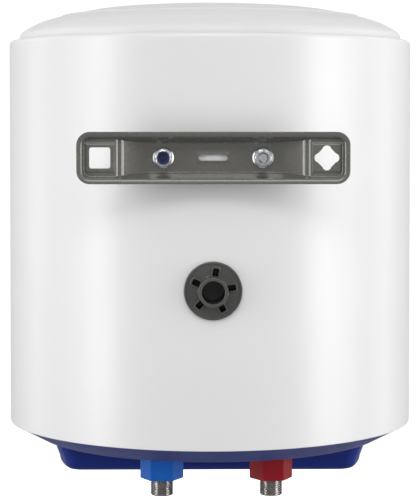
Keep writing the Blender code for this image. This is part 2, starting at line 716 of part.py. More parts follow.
def flange(axis):
    """The welded ring, the gasket and the plate, with bolts up through all three."""
    holes = [(m, BOLT_RADIUS + GAP, PLATE_BOTTOM - CLEAR, RING_TOP + CLEAR, 12) for m in boltMatrices()]
    cutter = rods("bolt_holes", holes, axis)
    ring = ringProfile(FLANGE_BORE, FLANGE_RADIUS, RING_BOTTOM, RING_TOP)
    cut(turned("tank_flange_ring", ring, STEEL, MID_STEPS, closed=True, parent=axis), cutter)
    low = RING_BOTTOM - GAP - GASKET_THICKNESS
    gasket = ringProfile(FLANGE_BORE, FLANGE_RADIUS, low, RING_BOTTOM - GAP)
    rubber = (0.02, 0.02, 0.02), 0.8, 0.0
    cut(turned("flange_gasket", gasket, rubber, MID_STEPS, closed=True, parent=axis), cutter)
    disc = circle(FLANGE_RADIUS, MID_STEPS)
    plate = prism("element_plate", disc, PLATE_BOTTOM, PLATE_TOP, STEEL, parent=axis)
    ends = PLATE_BOTTOM - CLEAR, PLATE_TOP + CLEAR
    through = [(Matrix.Translation((0, ANODE_Y, 0)), ANODE_STUD_RADIUS + GAP, *ends, 12)]
    through.append((Matrix(), POCKET_RADIUS + GAP, *ends, SMALL_STEPS))
    for side in (-1, 1):
        leg = Matrix.Translation((side * ELEMENT_HALF_SPAN, ELEMENT_Y, 0))
        through.append((leg, ELEMENT_TUBE_RADIUS + LOOSE, *ends, SMALL_STEPS))
    cut(plate, cutter, rods("plate_holes", through, axis))


def bolts(axis):
    """Hexagon screws, each a shank joined to its head."""
    for i, matrix in enumerate(boltMatrices()):
        name = f"flange_bolt_{i + 1}"
        headLow = PLATE_BOTTOM - GAP - BOLT_HEAD
        head = prism(name, hexagon(BOLT_ACROSS_FLATS), headLow, PLATE_BOTTOM - GAP, STEEL, parent=axis)
        head.location = matrix.translation
        shank = rods(f"{name}_shank", [(matrix, BOLT_RADIUS, headLow + 0.001, RING_TOP - GAP, 12)], axis)
        cut(head, shank, operation="UNION")


def heatingElement(axis):
    """A U-shaped tube, its legs down through the plate."""
    bottom = PLATE_BOTTOM - ELEMENT_TAIL
    bend = ELEMENT_HEIGHT - ELEMENT_HALF_SPAN
    points = [(ELEMENT_HALF_SPAN, bottom), *arc(0, bend, ELEMENT_HALF_SPAN, 0, 180, 10)]
    points.append((-ELEMENT_HALF_SPAN, bottom))
    route = [(x, ELEMENT_Y, z) for x, z in points]
    look = (0.45, 0.36, 0.28), 0.4, 1.0
    cord("heating_element", route, ELEMENT_TUBE_RADIUS, look, axis, resolution=3)


def cord(name, points, radius, look, parent, resolution=2):
    """A round tube along a route of points, with closed ends."""
    curve = bpy.data.curves.new(name, "CURVE")
    curve.dimensions = "3D"
    curve.bevel_depth = radius
    curve.bevel_resolution = resolution
    curve.use_fill_caps = True
    spline = curve.splines.new("POLY")
    spline.points.add(len(points) - 1)
    for spot, point in zip(spline.points, points):
        spot.co = (*point, 1)
    curve.materials.append(material(name, look))
    made = bpy.data.objects.new(name, curve)
    bpy.context.collection.objects.link(made)
    made.parent = parent
    return made


def anode(axis):
    low = PLATE_TOP + GAP
    top = low + ANODE_LENGTH
    tip = PLATE_BOTTOM - ANODE_STUD_LENGTH
    profile = [(0, tip), (ANODE_STUD_RADIUS, tip), (ANODE_STUD_RADIUS, low), (ANODE_RADIUS, low)]
    profile += [(ANODE_RADIUS, top - ANODE_CHAMFER), (ANODE_RADIUS - ANODE_CHAMFER, top), (0, top)]
    place = (0, ANODE_Y, 0)
    turned("anode_rod", profile, MAGNESIUM, SMALL_STEPS, parent=axis, place=place)
    nutTop = PLATE_BOTTOM - GAP
    low = nutTop - ANODE_NUT_HEIGHT
    made = prism("anode_nut", hexagon(ANODE_NUT_ACROSS_FLATS), low, nutTop, STEEL, parent=axis, place=place)
    hole = (Matrix.Translation(place), ANODE_STUD_RADIUS + GAP, low - CLEAR, nutTop + CLEAR, 12)
    cut(made, rods("anode_nut_bore", [hole], axis))


def sensorPocket(axis):
    """The closed tube that the thermostat's rod stands in, open below the plate."""
    low = PLATE_BOTTOM + GAP
    top = PLATE_TOP + POCKET_LENGTH
    bore = POCKET_RADIUS - POCKET_WALL
    profile = [(0, top - POCKET_WALL), (bore, top - POCKET_WALL), (bore, low)]
    profile += [(POCKET_RADIUS, low), (POCKET_RADIUS, top), (0, top)]
    turned("sensor_pocket", profile, STEEL, SMALL_STEPS, parent=axis)


# Pipe connections


def pipes(axis):
    """The two nipples through the tank's bottom, with what stands on them inside."""
    profile = [(PIPE_BORE, PIPE_END), (PIPE_RADIUS - PIPE_CHAMFER, PIPE_END)]
    profile += [(PIPE_RADIUS, PIPE_END + PIPE_CHAMFER), (PIPE_RADIUS, PIPE_TOP), (PIPE_BORE, PIPE_TOP)]
    for name, x in (("cold_inlet_nipple", COLD_X), ("hot_outlet_nipple", HOT_X)):
        turned(name, profile, STEEL, MID_STEPS, closed=True, parent=axis, place=(x, PIPE_Y, 0))
    riserRadius = PIPE_BORE - GAP
    riser = ringProfile(riserRadius - RISER_WALL, riserRadius, TANK_LIFT, RISER_TOP)
    look = (0.80, 0.80, 0.78), 0.5, 0.0
    place = (HOT_X, PIPE_Y, 0)
    turned("outlet_riser", riser, look, SMALL_STEPS, closed=True, parent=axis, place=place)
    bore = PIPE_RADIUS + GAP
    roof = PIPE_TOP + DIFFUSER_HEIGHT / 2
    low = roof - DIFFUSER_HEIGHT + DIFFUSER_TRIM
    cup = [(0, roof), (bore, roof), (bore, low), (DIFFUSER_RADIUS, low)]
    cup += [(DIFFUSER_RADIUS, roof + DIFFUSER_ROOF / 2), (0, roof + DIFFUSER_ROOF)]
    place = (COLD_X, PIPE_Y, 0)
    diffuser = turned("inlet_diffuser", cup, look, MID_STEPS, parent=axis, place=place)
    windows = bmesh.new()
    for side in range(3):
        slot = Matrix.Rotation(side * math.tau / 3, 4, "Z")
        window = roundedBox(DIFFUSER_RADIUS, DIFFUSER_WINDOW, 0.001, 1, (DIFFUSER_RADIUS, 0))
        addPrism(windows, window, PIPE_TOP + GAP, roof - 0.001, slot)
    cut(diffuser, finish("diffuser_windows", windows, parent=axis, place=place))


def collars(axis):
    """Coloured hexagon collars on the nipples, flats towards the wall."""
    blue = (0.015, 0.13, 0.45), 0.4, 0.0
    red = (0.33, 0.015, 0.02), 0.4, 0.0
    kinds = (("cold_hex_collar", COLD_X, 0, blue), ("hot_hex_collar", HOT_X, COLLAR_TURN, red))
    bores = pipeHoles(PIPE_RADIUS + GAP, COLLAR_BOTTOM - CLEAR, COLLAR_TOP + CLEAR)
    holes = rods("collar_bores", bores, axis)
    for name, x, turn, look in kinds:
        outline = hexagon(COLLAR_ACROSS_FLATS)
        made = prism(name, outline, COLLAR_BOTTOM, COLLAR_TOP, look, parent=axis)
        made.location = (x, PIPE_Y, 0)
        made.rotation_euler = (0, 0, turn)
        cut(made, holes)


# Bottom cap


def drumReach(angle, radius, rear, corner):
    """Distance from the axis to the D-shaped outline along an angle. Its flat side is the rear."""
    side, back = abs(math.cos(angle)), math.sin(angle)
    centreY = rear - corner
    centreX = math.sqrt((radius - corner) ** 2 - centreY**2)
    turn = math.atan2(back, side)
    if turn <= math.atan2(centreY, centreX):
        return radius
    if turn >= math.atan2(rear, centreX):
        return rear / back
    along = side * centreX + back * centreY
    return along + math.sqrt(along**2 - centreX**2 - centreY**2 + corner**2)


def capAngles():
    """Even steps, and some more where the drum's two rear corners are."""
    even = [math.tau * i / BIG_STEPS for i in range(BIG_STEPS)]
    centreY = DRUM_REAR - DRUM_CORNER
    centreX = math.sqrt((DRUM_RADIUS - DRUM_CORNER) ** 2 - centreY**2)
    first, last = math.atan2(centreY, centreX), math.atan2(DRUM_REAR, centreX)
    extra = [first + (last - first) * i / 4 for i in range(5)]
    extra += [math.pi - angle for angle in extra]
    spaced = [angle for angle in even if min(abs(angle - more) for more in extra) > 0.02]
    return sorted(spaced + extra)


def capRings(angles):
    """The cap's section as rings of points: its outside from the spigot down to the knob's well,
    then its inside back up."""

    def hoop(radius, height):
        return [(radius * math.cos(a), radius * math.sin(a), height) for a in angles]

    def drum(radius, rear, height, corner=DRUM_CORNER):
        reach = [drumReach(a, radius, rear, corner) for a in angles]
        return [(r * math.cos(a), r * math.sin(a), height) for r, a in zip(reach, angles)]

    def drumSide(low, inset):
        """The drum's side down to where its bottom edge rounds off, and that edge."""
        rings = []
        radius, rear = DRUM_RADIUS - inset, DRUM_REAR - inset
        roll = DRUM_BOTTOM_RADIUS - inset
        start = inset - CAP_LEDGE_DEPTH
        corner = DRUM_CORNER - inset
        rings.append(drum(radius, rear, start, corner))
        turn = low + roll
        side = radius - (start - turn) * math.tan(DRUM_DRAFT)
        back = rear - (start - turn) * math.tan(DRUM_REAR_DRAFT)
        for x, z in arc(-roll, turn, roll, 0, -90, 3):
            rings.append(drum(side + x, back + x, z, corner))
        return rings

    spigot = SPIGOT_RADIUS
    well = KNOB_RADIUS + KNOB_WELL_GAP
    shaft = SHAFT_RADIUS + LOOSE
    outside = [hoop(spigot, CAP_SPIGOT), hoop(spigot, -GAP)]
    outside += [hoop(CAP_LEDGE_RADIUS, -CAP_LEDGE_DEPTH), *drumSide(-DRUM_DEPTH, 0)]
    outside += [hoop(well, -DRUM_DEPTH), hoop(well, WELL_ROOF), hoop(shaft, WELL_ROOF)]
    inside = [hoop(spigot - CAP_WALL, CAP_SPIGOT), hoop(spigot - CAP_WALL, CAP_WALL - GAP)]
    inside += [hoop(CAP_LEDGE_RADIUS - CAP_WALL / 2, CAP_WALL - CAP_LEDGE_DEPTH)]
    inside += drumSide(CAP_FLOOR, CAP_WALL)
    inside += [hoop(well + CAP_WALL, CAP_FLOOR), hoop(well + CAP_WALL, WELL_ROOF + CAP_WALL)]
    inside += [hoop(shaft, WELL_ROOF + CAP_WALL)]
    return outside + inside[::-1]


def bottomCap(axis):
    bm = bmesh.new()
    stitch(bm, capRings(capAngles()), closed=True)
    made = finish("bottom_cap", bm, BLUE_CAP, parent=axis)
    boss = roundedBox(BOSS_LENGTH, BOSS_WIDTH, BOSS_WIDTH / 2 - 0.001, 4, (PIPE_PAIR_X, PIPE_Y))
    bossLow = -CAP_LEDGE_DEPTH - BOSS_HEIGHT
    bossMade = prism("pipe_boss", boss, bossLow, CAP_WALL / 2 - CAP_LEDGE_DEPTH, parent=axis)
    cut(made, bossMade, operation="UNION")
    low, high = -DRUM_DEPTH - CLEAR, CLEAR
    holes = pipeHoles(PIPE_RADIUS + LOOSE, low, high)
    holes.append((Matrix.Translation((*GLAND_PLACE, 0)), GLAND_THREAD_RADIUS + GAP, low, high, MID_STEPS))
    holes.append((Matrix.Translation((*LAMP_PLACE, 0)), LAMP_RADIUS + GAP, low, high, SMALL_STEPS))
    cut(made, rods("cap_holes", holes + screwHoles(), axis))


# Thermostat


def thermostat(axis):
    outline = roundedBox(THERMOSTAT_X, THERMOSTAT_Y, 0.002, 2)
    look = (0.70, 0.70, 0.66), 0.5, 0.0
    body = prism("thermostat_body", outline, THERMOSTAT_BOTTOM, THERMOSTAT_TOP, look, parent=axis)
    below = THERMOSTAT_BOTTOM - CLEAR
    sockets = [
        (Matrix(), SHAFT_RADIUS + GAP, below, THERMOSTAT_BOTTOM + SHAFT_SOCKET_DEPTH, SMALL_STEPS),
        (
            Matrix.Translation((RESET_X, 0, 0)),
            RESET_RADIUS + GAP,
            below,
            THERMOSTAT_BOTTOM + RESET_SOCKET_DEPTH,
            12,
        ),
    ]
    cut(body, rods("thermostat_sockets", sockets, axis))
    rod = POCKET_RADIUS - POCKET_WALL - GAP
    top = PLATE_TOP + POCKET_LENGTH - 2 * POCKET_WALL
    sensor = rods("thermostat_rod", [(Matrix(), rod, THERMOSTAT_TOP - ROD_ROOT, top, SMALL_STEPS)], axis)
    cut(body, sensor, operation="UNION")


def knob(axis):
    """The shaft and the knob pressed on it, both turning about the heater's axis."""
    shaftTop = THERMOSTAT_BOTTOM + SHAFT_SOCKET_DEPTH - 0.0005
    roof = WELL_ROOF - KNOB_TOP_GAP
    low = roof - KNOB_HEIGHT
    shaftLow = roof - KNOB_HEIGHT / 2
    shaft = [(0, shaftLow), (SHAFT_RADIUS, shaftLow), (SHAFT_RADIUS, shaftTop), (0, shaftTop)]
    turned("thermostat_shaft", shaft, BRASS, SMALL_STEPS, parent=axis)
    bore = SHAFT_RADIUS + GAP
    bm = bmesh.new()
    chain = [(0, shaftLow - GAP), (bore, shaftLow - GAP), (bore, roof), (KNOB_RADIUS, roof)]
    chain += [(KNOB_RADIUS, roof - KNOB_SKIRT), (KNOB_RADIUS - 0.002, roof - KNOB_SKIRT)]
    chain += [(KNOB_RADIUS - 0.003, low + 0.001), (KNOB_RADIUS - 0.004, low), (0, low)]
    addTurned(bm, chain, MID_STEPS)
    finish("thermostat_knob", bm, ((0.75, 0.76, 0.78), 0.4, 0.0), parent=axis)


def resetButton(axis):
    top = THERMOSTAT_BOTTOM + RESET_SOCKET_DEPTH - RESET_TRAVEL_ROOM
    low = top - RESET_LENGTH - RESET_STEM
    profile = [(0, low), (RESET_RADIUS - 0.0004, low), (RESET_RADIUS, low + 0.0004)]
    profile += [(RESET_RADIUS, top), (0, top)]
    look = (0.45, 0.02, 0.02), 0.4, 0.0
    turned("reset_button", profile, look, 12, parent=axis, place=(RESET_X, 0, 0))


# Electrics in the cap


def terminalBlock(axis):
    width, depth, height = TERMINAL_SIZE
    outline = roundedBox(width, depth, 0.001, 1, TERMINAL_PLACE)
    low = CAP_FLOOR + GAP
    look = (0.75, 0.73, 0.66), 0.5, 0.0
    block = prism("terminal_block", outline, low, low + height, look, parent=axis)
    holes = []
    for i in range(3):
        x = TERMINAL_PLACE[0] + (i - 1) * width / 3
        place = Matrix.Translation((x, TERMINAL_PLACE[1], 0))
        well = low + height - TERMINAL_WELL_DEPTH
        holes.append((place, TERMINAL_WELL_RADIUS, well, low + 2 * height, 12))
    cut(block, rods("terminal_wells", holes, axis))


def cableGland(axis):
    """Its head below the cap, its thread through the cap's floor, and the nut on it inside."""
    top = -DRUM_DEPTH - GAP
    high = CAP_FLOOR + GLAND_NUT + GLAND_CHAMFER
    head = top - GLAND_HEAD
    profile = [(GLAND_BORE, head), (GLAND_RADIUS - 0.003, head), (GLAND_RADIUS, head + GLAND_CHAMFER)]
    profile += [(GLAND_RADIUS, top), (GLAND_THREAD_RADIUS, top), (GLAND_THREAD_RADIUS, high)]
    profile.append((GLAND_BORE, high))
    black = (0.02, 0.02, 0.02), 0.5, 0.0
    place = (*GLAND_PLACE, 0)
    turned("cable_gland", profile, black, MID_STEPS, closed=True, parent=axis, place=place)
    low = CAP_FLOOR + GAP
    outline = hexagon(2 * GLAND_RADIUS)
    nutMade = prism("gland_nut", outline, low, low + GLAND_NUT, black, parent=axis, place=place)
    hole = (Matrix.Translation(place), GLAND_THREAD_RADIUS + GAP, low - CLEAR, low + 2 * CLEAR, MID_STEPS)
    cut(nutMade, rods("gland_nut_bore", [hole], axis))


def lampBase():
    """Where the lamp's body stands on its lens."""
    return CAP_FLOOR + 0.001


def lamp(axis):
    low = -DRUM_DEPTH - GAP
    lens = [(0, low - LAMP_LENS_DROP), (LAMP_LENS_RADIUS - 0.001, low - LAMP_LENS_DROP + 0.0004)]
    lens += [(LAMP_LENS_RADIUS, low), (LAMP_RADIUS, low), (LAMP_RADIUS, lampBase() - GAP)]
    lens.append((0, lampBase() - GAP))
    place = (*LAMP_PLACE, 0)
    look = (0.85, 0.35, 0.05), 0.2, 0.0
    turned("lamp_lens", lens, look, SMALL_STEPS, parent=axis, place=place)
    base = lampBase()
    body = [(0, base), (LAMP_RADIUS, base), (LAMP_RADIUS, base + LAMP_BODY_HEIGHT)]
    body.append((0, base + LAMP_BODY_HEIGHT))
    turned("lamp_body", body, ((0.8, 0.8, 0.78), 0.4, 0.0), SMALL_STEPS, parent=axis, place=place)


def smoothRoute(points, steps=4):
    """A smooth curve through the route's own points."""
    path = [Vector(point) for point in points]
    route = []
    for i in range(len(path) - 1):
        before = path[max(i - 1, 0)]
        first, last = path[i], path[i + 1]
        after = path[min(i + 2, len(path) - 1)]
        for j in range(steps):
            t = j / steps
            bend = (last - before) * t + (2 * before - 5 * first + 4 * last - after) * t * t
            bend += (3 * first - before - 3 * last + after) * t**3
            route.append(first + bend / 2)
    return route + [path[-1]]


def wires(axis):
    """Wires between the terminal block, the thermostat, the element, the earth and the lamp."""
    blockTop = CAP_FLOOR + GAP + TERMINAL_SIZE[2]
    well = blockTop - TERMINAL_WELL_DEPTH + WIRE_GAP
    blockX, blockY = TERMINAL_PLACE
    third = TERMINAL_SIZE[0] / 3
    legBottom = PLATE_BOTTOM - ELEMENT_TAIL - WIRE_GAP
    side = THERMOSTAT_X / 2 + WIRE_GAP
    level = (THERMOSTAT_TOP + THERMOSTAT_BOTTOM) / 2
    lampTop = lampBase() + LAMP_BODY_HEIGHT
    routes = {
        "wire_live": [
            (blockX - third, blockY, well),
            (blockX - third, blockY, blockTop + 0.006),
            (blockX - 0.022, blockY + 0.004, blockTop + 0.009),
            (side + 0.012, -0.006, level + 0.001),
            (side, -0.006, level),
        ],
        "wire_neutral": [
            (blockX, blockY, well),
            (blockX, blockY, blockTop + 0.007),
            (blockX - 0.006, 0.010, blockTop + 0.010),
            (side + 0.014, 0.024, legBottom - 0.010),
            (ELEMENT_HALF_SPAN, ELEMENT_Y + 0.004, legBottom - 0.004),
            (ELEMENT_HALF_SPAN, ELEMENT_Y, legBottom),
        ],
        "wire_load": [
            (-side, 0.006, level),
            (-side - 0.008, 0.010, level),
            (-side - 0.004, 0.022, legBottom - 0.006),
            (-ELEMENT_HALF_SPAN, ELEMENT_Y + 0.004, legBottom - 0.005),
            (-ELEMENT_HALF_SPAN, ELEMENT_Y, legBottom),
        ],
        "wire_lamp": [
            (-side, -0.006, level),
            (-side - 0.012, -0.014, level + 0.002),
            (LAMP_PLACE[0], LAMP_PLACE[1] + 0.020, level),
            (LAMP_PLACE[0], LAMP_PLACE[1], lampTop + 0.008),
            (LAMP_PLACE[0], LAMP_PLACE[1], lampTop + WIRE_GAP),
        ],
    }
    looks = {
        "wire_live": (0.25, 0.12, 0.05),
        "wire_neutral": (0.05, 0.15, 0.55),
        "wire_load": (0.25, 0.12, 0.05),
        "wire_lamp": (0.03, 0.03, 0.03),
    }
    for name, route in routes.items():
        cord(name, smoothRoute(route), WIRE_RADIUS, (looks[name], 0.5, 0.0), axis)


def spacer():
    """A slotted disc on the jacket with a tube out to the wall and a barrel into the foam."""
    back = GAP - WALL_GAP
    face = back + SPACER_DISC
    barrel = -WALL_GAP - SPACER_BARREL_DEPTH
    inner = SPACER_BARREL_RADIUS - SPACER_WALL
    plugEnd = back - SPACER_BARREL_DEPTH / 2
    profile = [
        (0, plugEnd),
        (SPACER_RING_RADIUS, plugEnd),
        (SPACER_RING_RADIUS, back),
        (inner, back),
        (inner, barrel),
        (SPACER_BARREL_RADIUS, barrel),
        (SPACER_BARREL_RADIUS, back),
        (SPACER_RADIUS, back),
        (SPACER_RADIUS, face - SPACER_CHAMFER),
        (SPACER_RADIUS - SPACER_CHAMFER, face),
        (SPACER_RING_RADIUS, face),
        (SPACER_RING_RADIUS, 0),
        (SPACER_BORE_RADIUS, 0),
        (SPACER_BORE_RADIUS, plugEnd + SPACER_WALL),
        (0, plugEnd + SPACER_WALL),
    ]
    made = turned("wall_spacer", profile, ((0.10, 0.10, 0.09), 0.5, 0.0), MID_STEPS)
    made.matrix_world = alongY(0, 0, JACKET_BOTTOM_Z + SPACER_Z)
    slots = bmesh.new()
    middle = (SPACER_SLOT_INNER + SPACER_SLOT_OUTER) / 2
    length = SPACER_SLOT_OUTER - SPACER_SLOT_INNER
    outline = roundedBox(length, SPACER_SLOT_WIDTH, 0.0012, 2, (middle, 0))
    for i in range(SPACER_SLOTS):
        turn = math.radians(-90) - SPACER_SLOT_TURN - math.tau * i / SPACER_SLOTS
        addPrism(slots, outline, back - 0.002, face + 0.002, Matrix.Rotation(turn, 4, "Z"))
    cutter = finish("spacer_slots", slots)
    cutter.matrix_world = made.matrix_world
    cut(made, cutter)


def main():
    clearScene()
    axis = bpy.data.objects.new("heater_axis", None)
    bpy.context.collection.objects.link(axis)
    axis.location = (0, AXIS_Y, JACKET_BOTTOM_Z)
    bpy.context.view_layer.update()
    wallBracket()
    studs()
    saddle(axis)
    nuts()
    jacket(axis)
    lid(axis)
    foam(axis)
    capScrews(axis)
    tank(axis)
    flange(axis)
    bolts(axis)
    heatingElement(axis)
    anode(axis)
    sensorPocket(axis)
    pipes(axis)
    collars(axis)
    bottomCap(axis)
    thermostat(axis)
    knob(axis)
    resetButton(axis)
    terminalBlock(axis)
    cableGland(axis)
    lamp(axis)
    wires(axis)
    spacer()


main()
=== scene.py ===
import json
import math

import bmesh
import bpy
from mathutils import Matrix, Vector


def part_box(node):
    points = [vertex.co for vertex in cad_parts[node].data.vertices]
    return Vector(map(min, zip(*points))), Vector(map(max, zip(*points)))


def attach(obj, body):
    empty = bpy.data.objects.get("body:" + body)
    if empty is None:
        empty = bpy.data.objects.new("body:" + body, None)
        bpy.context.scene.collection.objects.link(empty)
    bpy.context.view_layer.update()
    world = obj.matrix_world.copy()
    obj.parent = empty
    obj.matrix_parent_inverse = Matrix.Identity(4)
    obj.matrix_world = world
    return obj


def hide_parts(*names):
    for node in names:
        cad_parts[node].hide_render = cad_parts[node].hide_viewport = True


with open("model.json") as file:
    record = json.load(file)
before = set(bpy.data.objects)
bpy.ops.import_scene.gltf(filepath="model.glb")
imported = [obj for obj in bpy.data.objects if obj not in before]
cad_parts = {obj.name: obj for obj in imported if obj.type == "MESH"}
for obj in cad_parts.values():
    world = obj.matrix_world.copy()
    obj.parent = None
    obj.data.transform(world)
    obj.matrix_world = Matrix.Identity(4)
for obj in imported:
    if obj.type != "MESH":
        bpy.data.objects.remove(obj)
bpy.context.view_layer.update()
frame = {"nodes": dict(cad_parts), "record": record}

nodes = frame["nodes"]
print("model loaded,", len(nodes), "parts")

jacketLow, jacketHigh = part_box("outer_jacket")
axisX = (jacketLow.x + jacketHigh.x) / 2
axisY = (jacketLow.y + jacketHigh.y) / 2
jacketRadius = (jacketHigh.x - jacketLow.x) / 2
jacketFoot = jacketLow.z
atAxis = Matrix.Translation((axisX, axisY, 0))


# mesh helpers

creaseAngle = math.radians(32)  # edges that turn more than this stay crisp


def softenShading(piece):
    piece.data.shade_smooth()
    piece.data.set_sharp_from_angle(angle=creaseAngle)


def cleanUp(bm):  # doubles merged, then faces turned outwards
    bmesh.ops.remove_doubles(bm, verts=bm.verts, dist=2e-6)
    bmesh.ops.dissolve_degenerate(bm, edges=bm.edges, dist=1e-7)
    bmesh.ops.recalc_face_normals(bm, faces=bm.faces)


def newPiece(name, bm, finish=None):
    cleanUp(bm)
    mesh = bpy.data.meshes.new(name)
    bm.to_mesh(mesh)
    bm.free()
    piece = bpy.data.objects.new(name, mesh)
    bpy.context.scene.collection.objects.link(piece)
    if finish:
        mesh.materials.append(finish)
    softenShading(piece)
    return piece


def bakeShape(piece):  # turns live modifiers into a plain, clean mesh
    graph = bpy.context.evaluated_depsgraph_get()
    mesh = bpy.data.meshes.new_from_object(piece.evaluated_get(graph), depsgraph=graph)
    piece.modifiers.clear()
    bm = bmesh.new()
    bm.from_mesh(mesh)
    cleanUp(bm)
    bm.to_mesh(mesh)
    bm.free()
    mesh.name = piece.name
    piece.data = mesh
    softenShading(piece)
    return piece


def carve(piece, *cutters, operation="DIFFERENCE"):
    for cutter in cutters:
        modifier = piece.modifiers.new("carve", "BOOLEAN")
        modifier.operation = operation
        modifier.solver = "EXACT"
        modifier.object = cutter
    bakeShape(piece)
    for cutter in cutters:
        bpy.data.objects.remove(cutter)
    return piece


def place(piece, matrix):
    piece.data.transform(matrix)
    if matrix.determinant() < 0:
        piece.data.flip_normals()
    return piece


def bridgeRows(bm, pairs):  # four-sided faces between closed rows of equal counts
    for first, second in pairs:
        count = len(first)
        for i in range(count):
            j = (i + 1) % count
            bm.faces.new((first[i], first[j], second[j], second[i]))


def stackRings(name, rings, finish=None, loop=False):  # a solid through rings of equal counts
    bm = bmesh.new()
    rows = [[bm.verts.new(point) for point in ring] for ring in rings]
    bridgeRows(bm, zip(rows, rows[1:] + rows[:1] if loop else rows[1:]))
    if not loop:
        for row in (rows[0], rows[-1]):
            spread = max((v.co - row[0].co).length for v in row)
            if spread > 1e-6:
                bm.faces.new(row)
    return newPiece(name, bm, finish)


def softened(points, loop=False, steps=5):
    # points are (x, y, cut): each corner with a cut is rounded over that length
    made = []
    count = len(points)
    for i, point in enumerate(points):
        cut = point[2] if len(point) > 2 else 0
        here = Vector(point[:2])
        if not cut or (not loop and i in (0, count - 1)):
            made.append(tuple(here))
            continue
        before = Vector(points[i - 1][:2])
        after = Vector(points[(i + 1) % count][:2])
        first = here + (before - here).normalized() * cut
        last = here + (after - here).normalized() * cut
        for k in range(steps + 1):
            t = k / steps
            made.append(tuple(first * (1 - t) ** 2 + here * 2 * t * (1 - t) + last * t * t))
    return made


def roundedOutline(width, height, corner, steps=6, centre=(0, 0)):
    made = []
    for quarter in range(4):
        signX = (1, -1, -1, 1)[quarter]
        signY = (1, 1, -1, -1)[quarter]
        for k in range(steps + 1):
            angle = math.radians(90 * quarter + 90 * k / steps)
            x = centre[0] + signX * (width / 2 - corner) + corner * math.cos(angle)
            y = centre[1] + signY * (height / 2 - corner) + corner * math.sin(angle)
            made.append((x, y))
    return made


def prism(name, outline, low, high, edge=0.0):  # edge rounds the upper rim
    centre = Vector((sum(x for x, _ in outline), sum(y for _, y in outline))) / len(outline)
    rings = [[(x, y, low) for x, y in outline]]
    if edge:
        reach = max((Vector(p) - centre).length for p in outline)
        for k in range(5):
            turn = math.radians(90 * k / 4)
            share = 1 - edge * (1 - math.cos(turn)) / reach
            z = high - edge + edge * math.sin(turn)
            rings.append([(centre.x + (x - centre.x) * share, centre.y + (y - centre.y) * share, z)
                          for x, y in outline])
    else:
        rings.append([(x, y, high) for x, y in outline])
    return stackRings(name, rings)


def evenAngles(count):
    return [math.tau * k / count for k in range(count)]


def roundRing(radius, at, angles):
    return [(radius * math.cos(a), radius * math.sin(a), at) for a in angles]


def hexRing(at, angles, flats, limit, turn=0.0, roundness=34):  # corners are cut off at the limit radius
    made = []
    for a in angles:
        total = sum(abs(math.cos(a - turn - math.radians(60 * k))) ** roundness for k in range(3))
        reach = min(flats / 2 / total ** (1 / roundness), limit)
        made.append((reach * math.cos(a), reach * math.sin(a), at))
    return made


def smoothStep(value, low, high):
    t = min(max((value - low) / (high - low), 0), 1)
    return t * t * (3 - 2 * t)


def softMin(a, b, width):
    mix = min(max(0.5 + 0.5 * (b - a) / width, 0), 1)
    return b + (a - b) * mix - width * mix * (1 - mix)


def softMax(a, b, width):
    return -softMin(-a, -b, width)


def facingWall(x, z, y=0.0):  # a turned piece whose own axis then points at the wall
    return Matrix.Translation((x, y, z)) @ Matrix.Rotation(math.radians(-90), 4, "X")


def middleOf(nodeName):
    return [(a + b) / 2 for a, b in zip(*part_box(nodeName))]


# node helpers

def calc(tree, operation, *values):
    node = tree.nodes.new("ShaderNodeMath")
    node.operation = operation
    for entry, value in zip(node.inputs, values):
        if isinstance(value, bpy.types.NodeSocket):
            tree.links.new(value, entry)
        else:
            entry.default_value = value
    return node.outputs[0]


def rangeOf(tree, value, low, high, toLow, toHigh):
    node = tree.nodes.new("ShaderNodeMapRange")
    node.interpolation_type = "SMOOTHSTEP"
    tree.links.new(value, node.inputs["Value"])
    for label, number in (("From Min", low), ("From Max", high), ("To Min", toLow), ("To Max", toHigh)):
        node.inputs[label].default_value = number
    return node.outputs["Result"]


def fromAxis(tree, x, y):
    squares = calc(tree, "ADD", calc(tree, "MULTIPLY", x, x), calc(tree, "MULTIPLY", y, y))
    return calc(tree, "SQRT", squares)


def startTree(name, inputs):
    tree = bpy.data.node_groups.new(name, "GeometryNodeTree")
    face = tree.interface
    face.new_socket("Geometry", in_out="INPUT", socket_type="NodeSocketGeometry")
    face.new_socket("Geometry", in_out="OUTPUT", socket_type="NodeSocketGeometry")
    for label, kind in inputs.items():
        face.new_socket(label, in_out="INPUT", socket_type="NodeSocket" + kind)
    face.new_socket("finish", in_out="INPUT", socket_type="NodeSocketMaterial")
    return tree, tree.nodes.new("NodeGroupInput").outputs


def endTree(tree, geometry, given):
    real = tree.nodes.new("GeometryNodeRealizeInstances")
    paint = tree.nodes.new("GeometryNodeSetMaterial")
    out = tree.nodes.new("NodeGroupOutput")
    tree.links.new(geometry, real.inputs[0])
    tree.links.new(real.outputs[0], paint.inputs["Geometry"])
    tree.links.new(given["finish"], paint.inputs["Material"])
    tree.links.new(paint.outputs[0], out.inputs[0])
    return tree


def runTree(piece, tree, **settings):
    modifier = piece.modifiers.new(tree.name, "NODES")
    modifier.node_group = tree
    for item in tree.interface.items_tree:
        if item.name in settings:
            modifier[item.identifier] = settings[item.name]
    return bakeShape(piece)


# one section, turned round the z axis

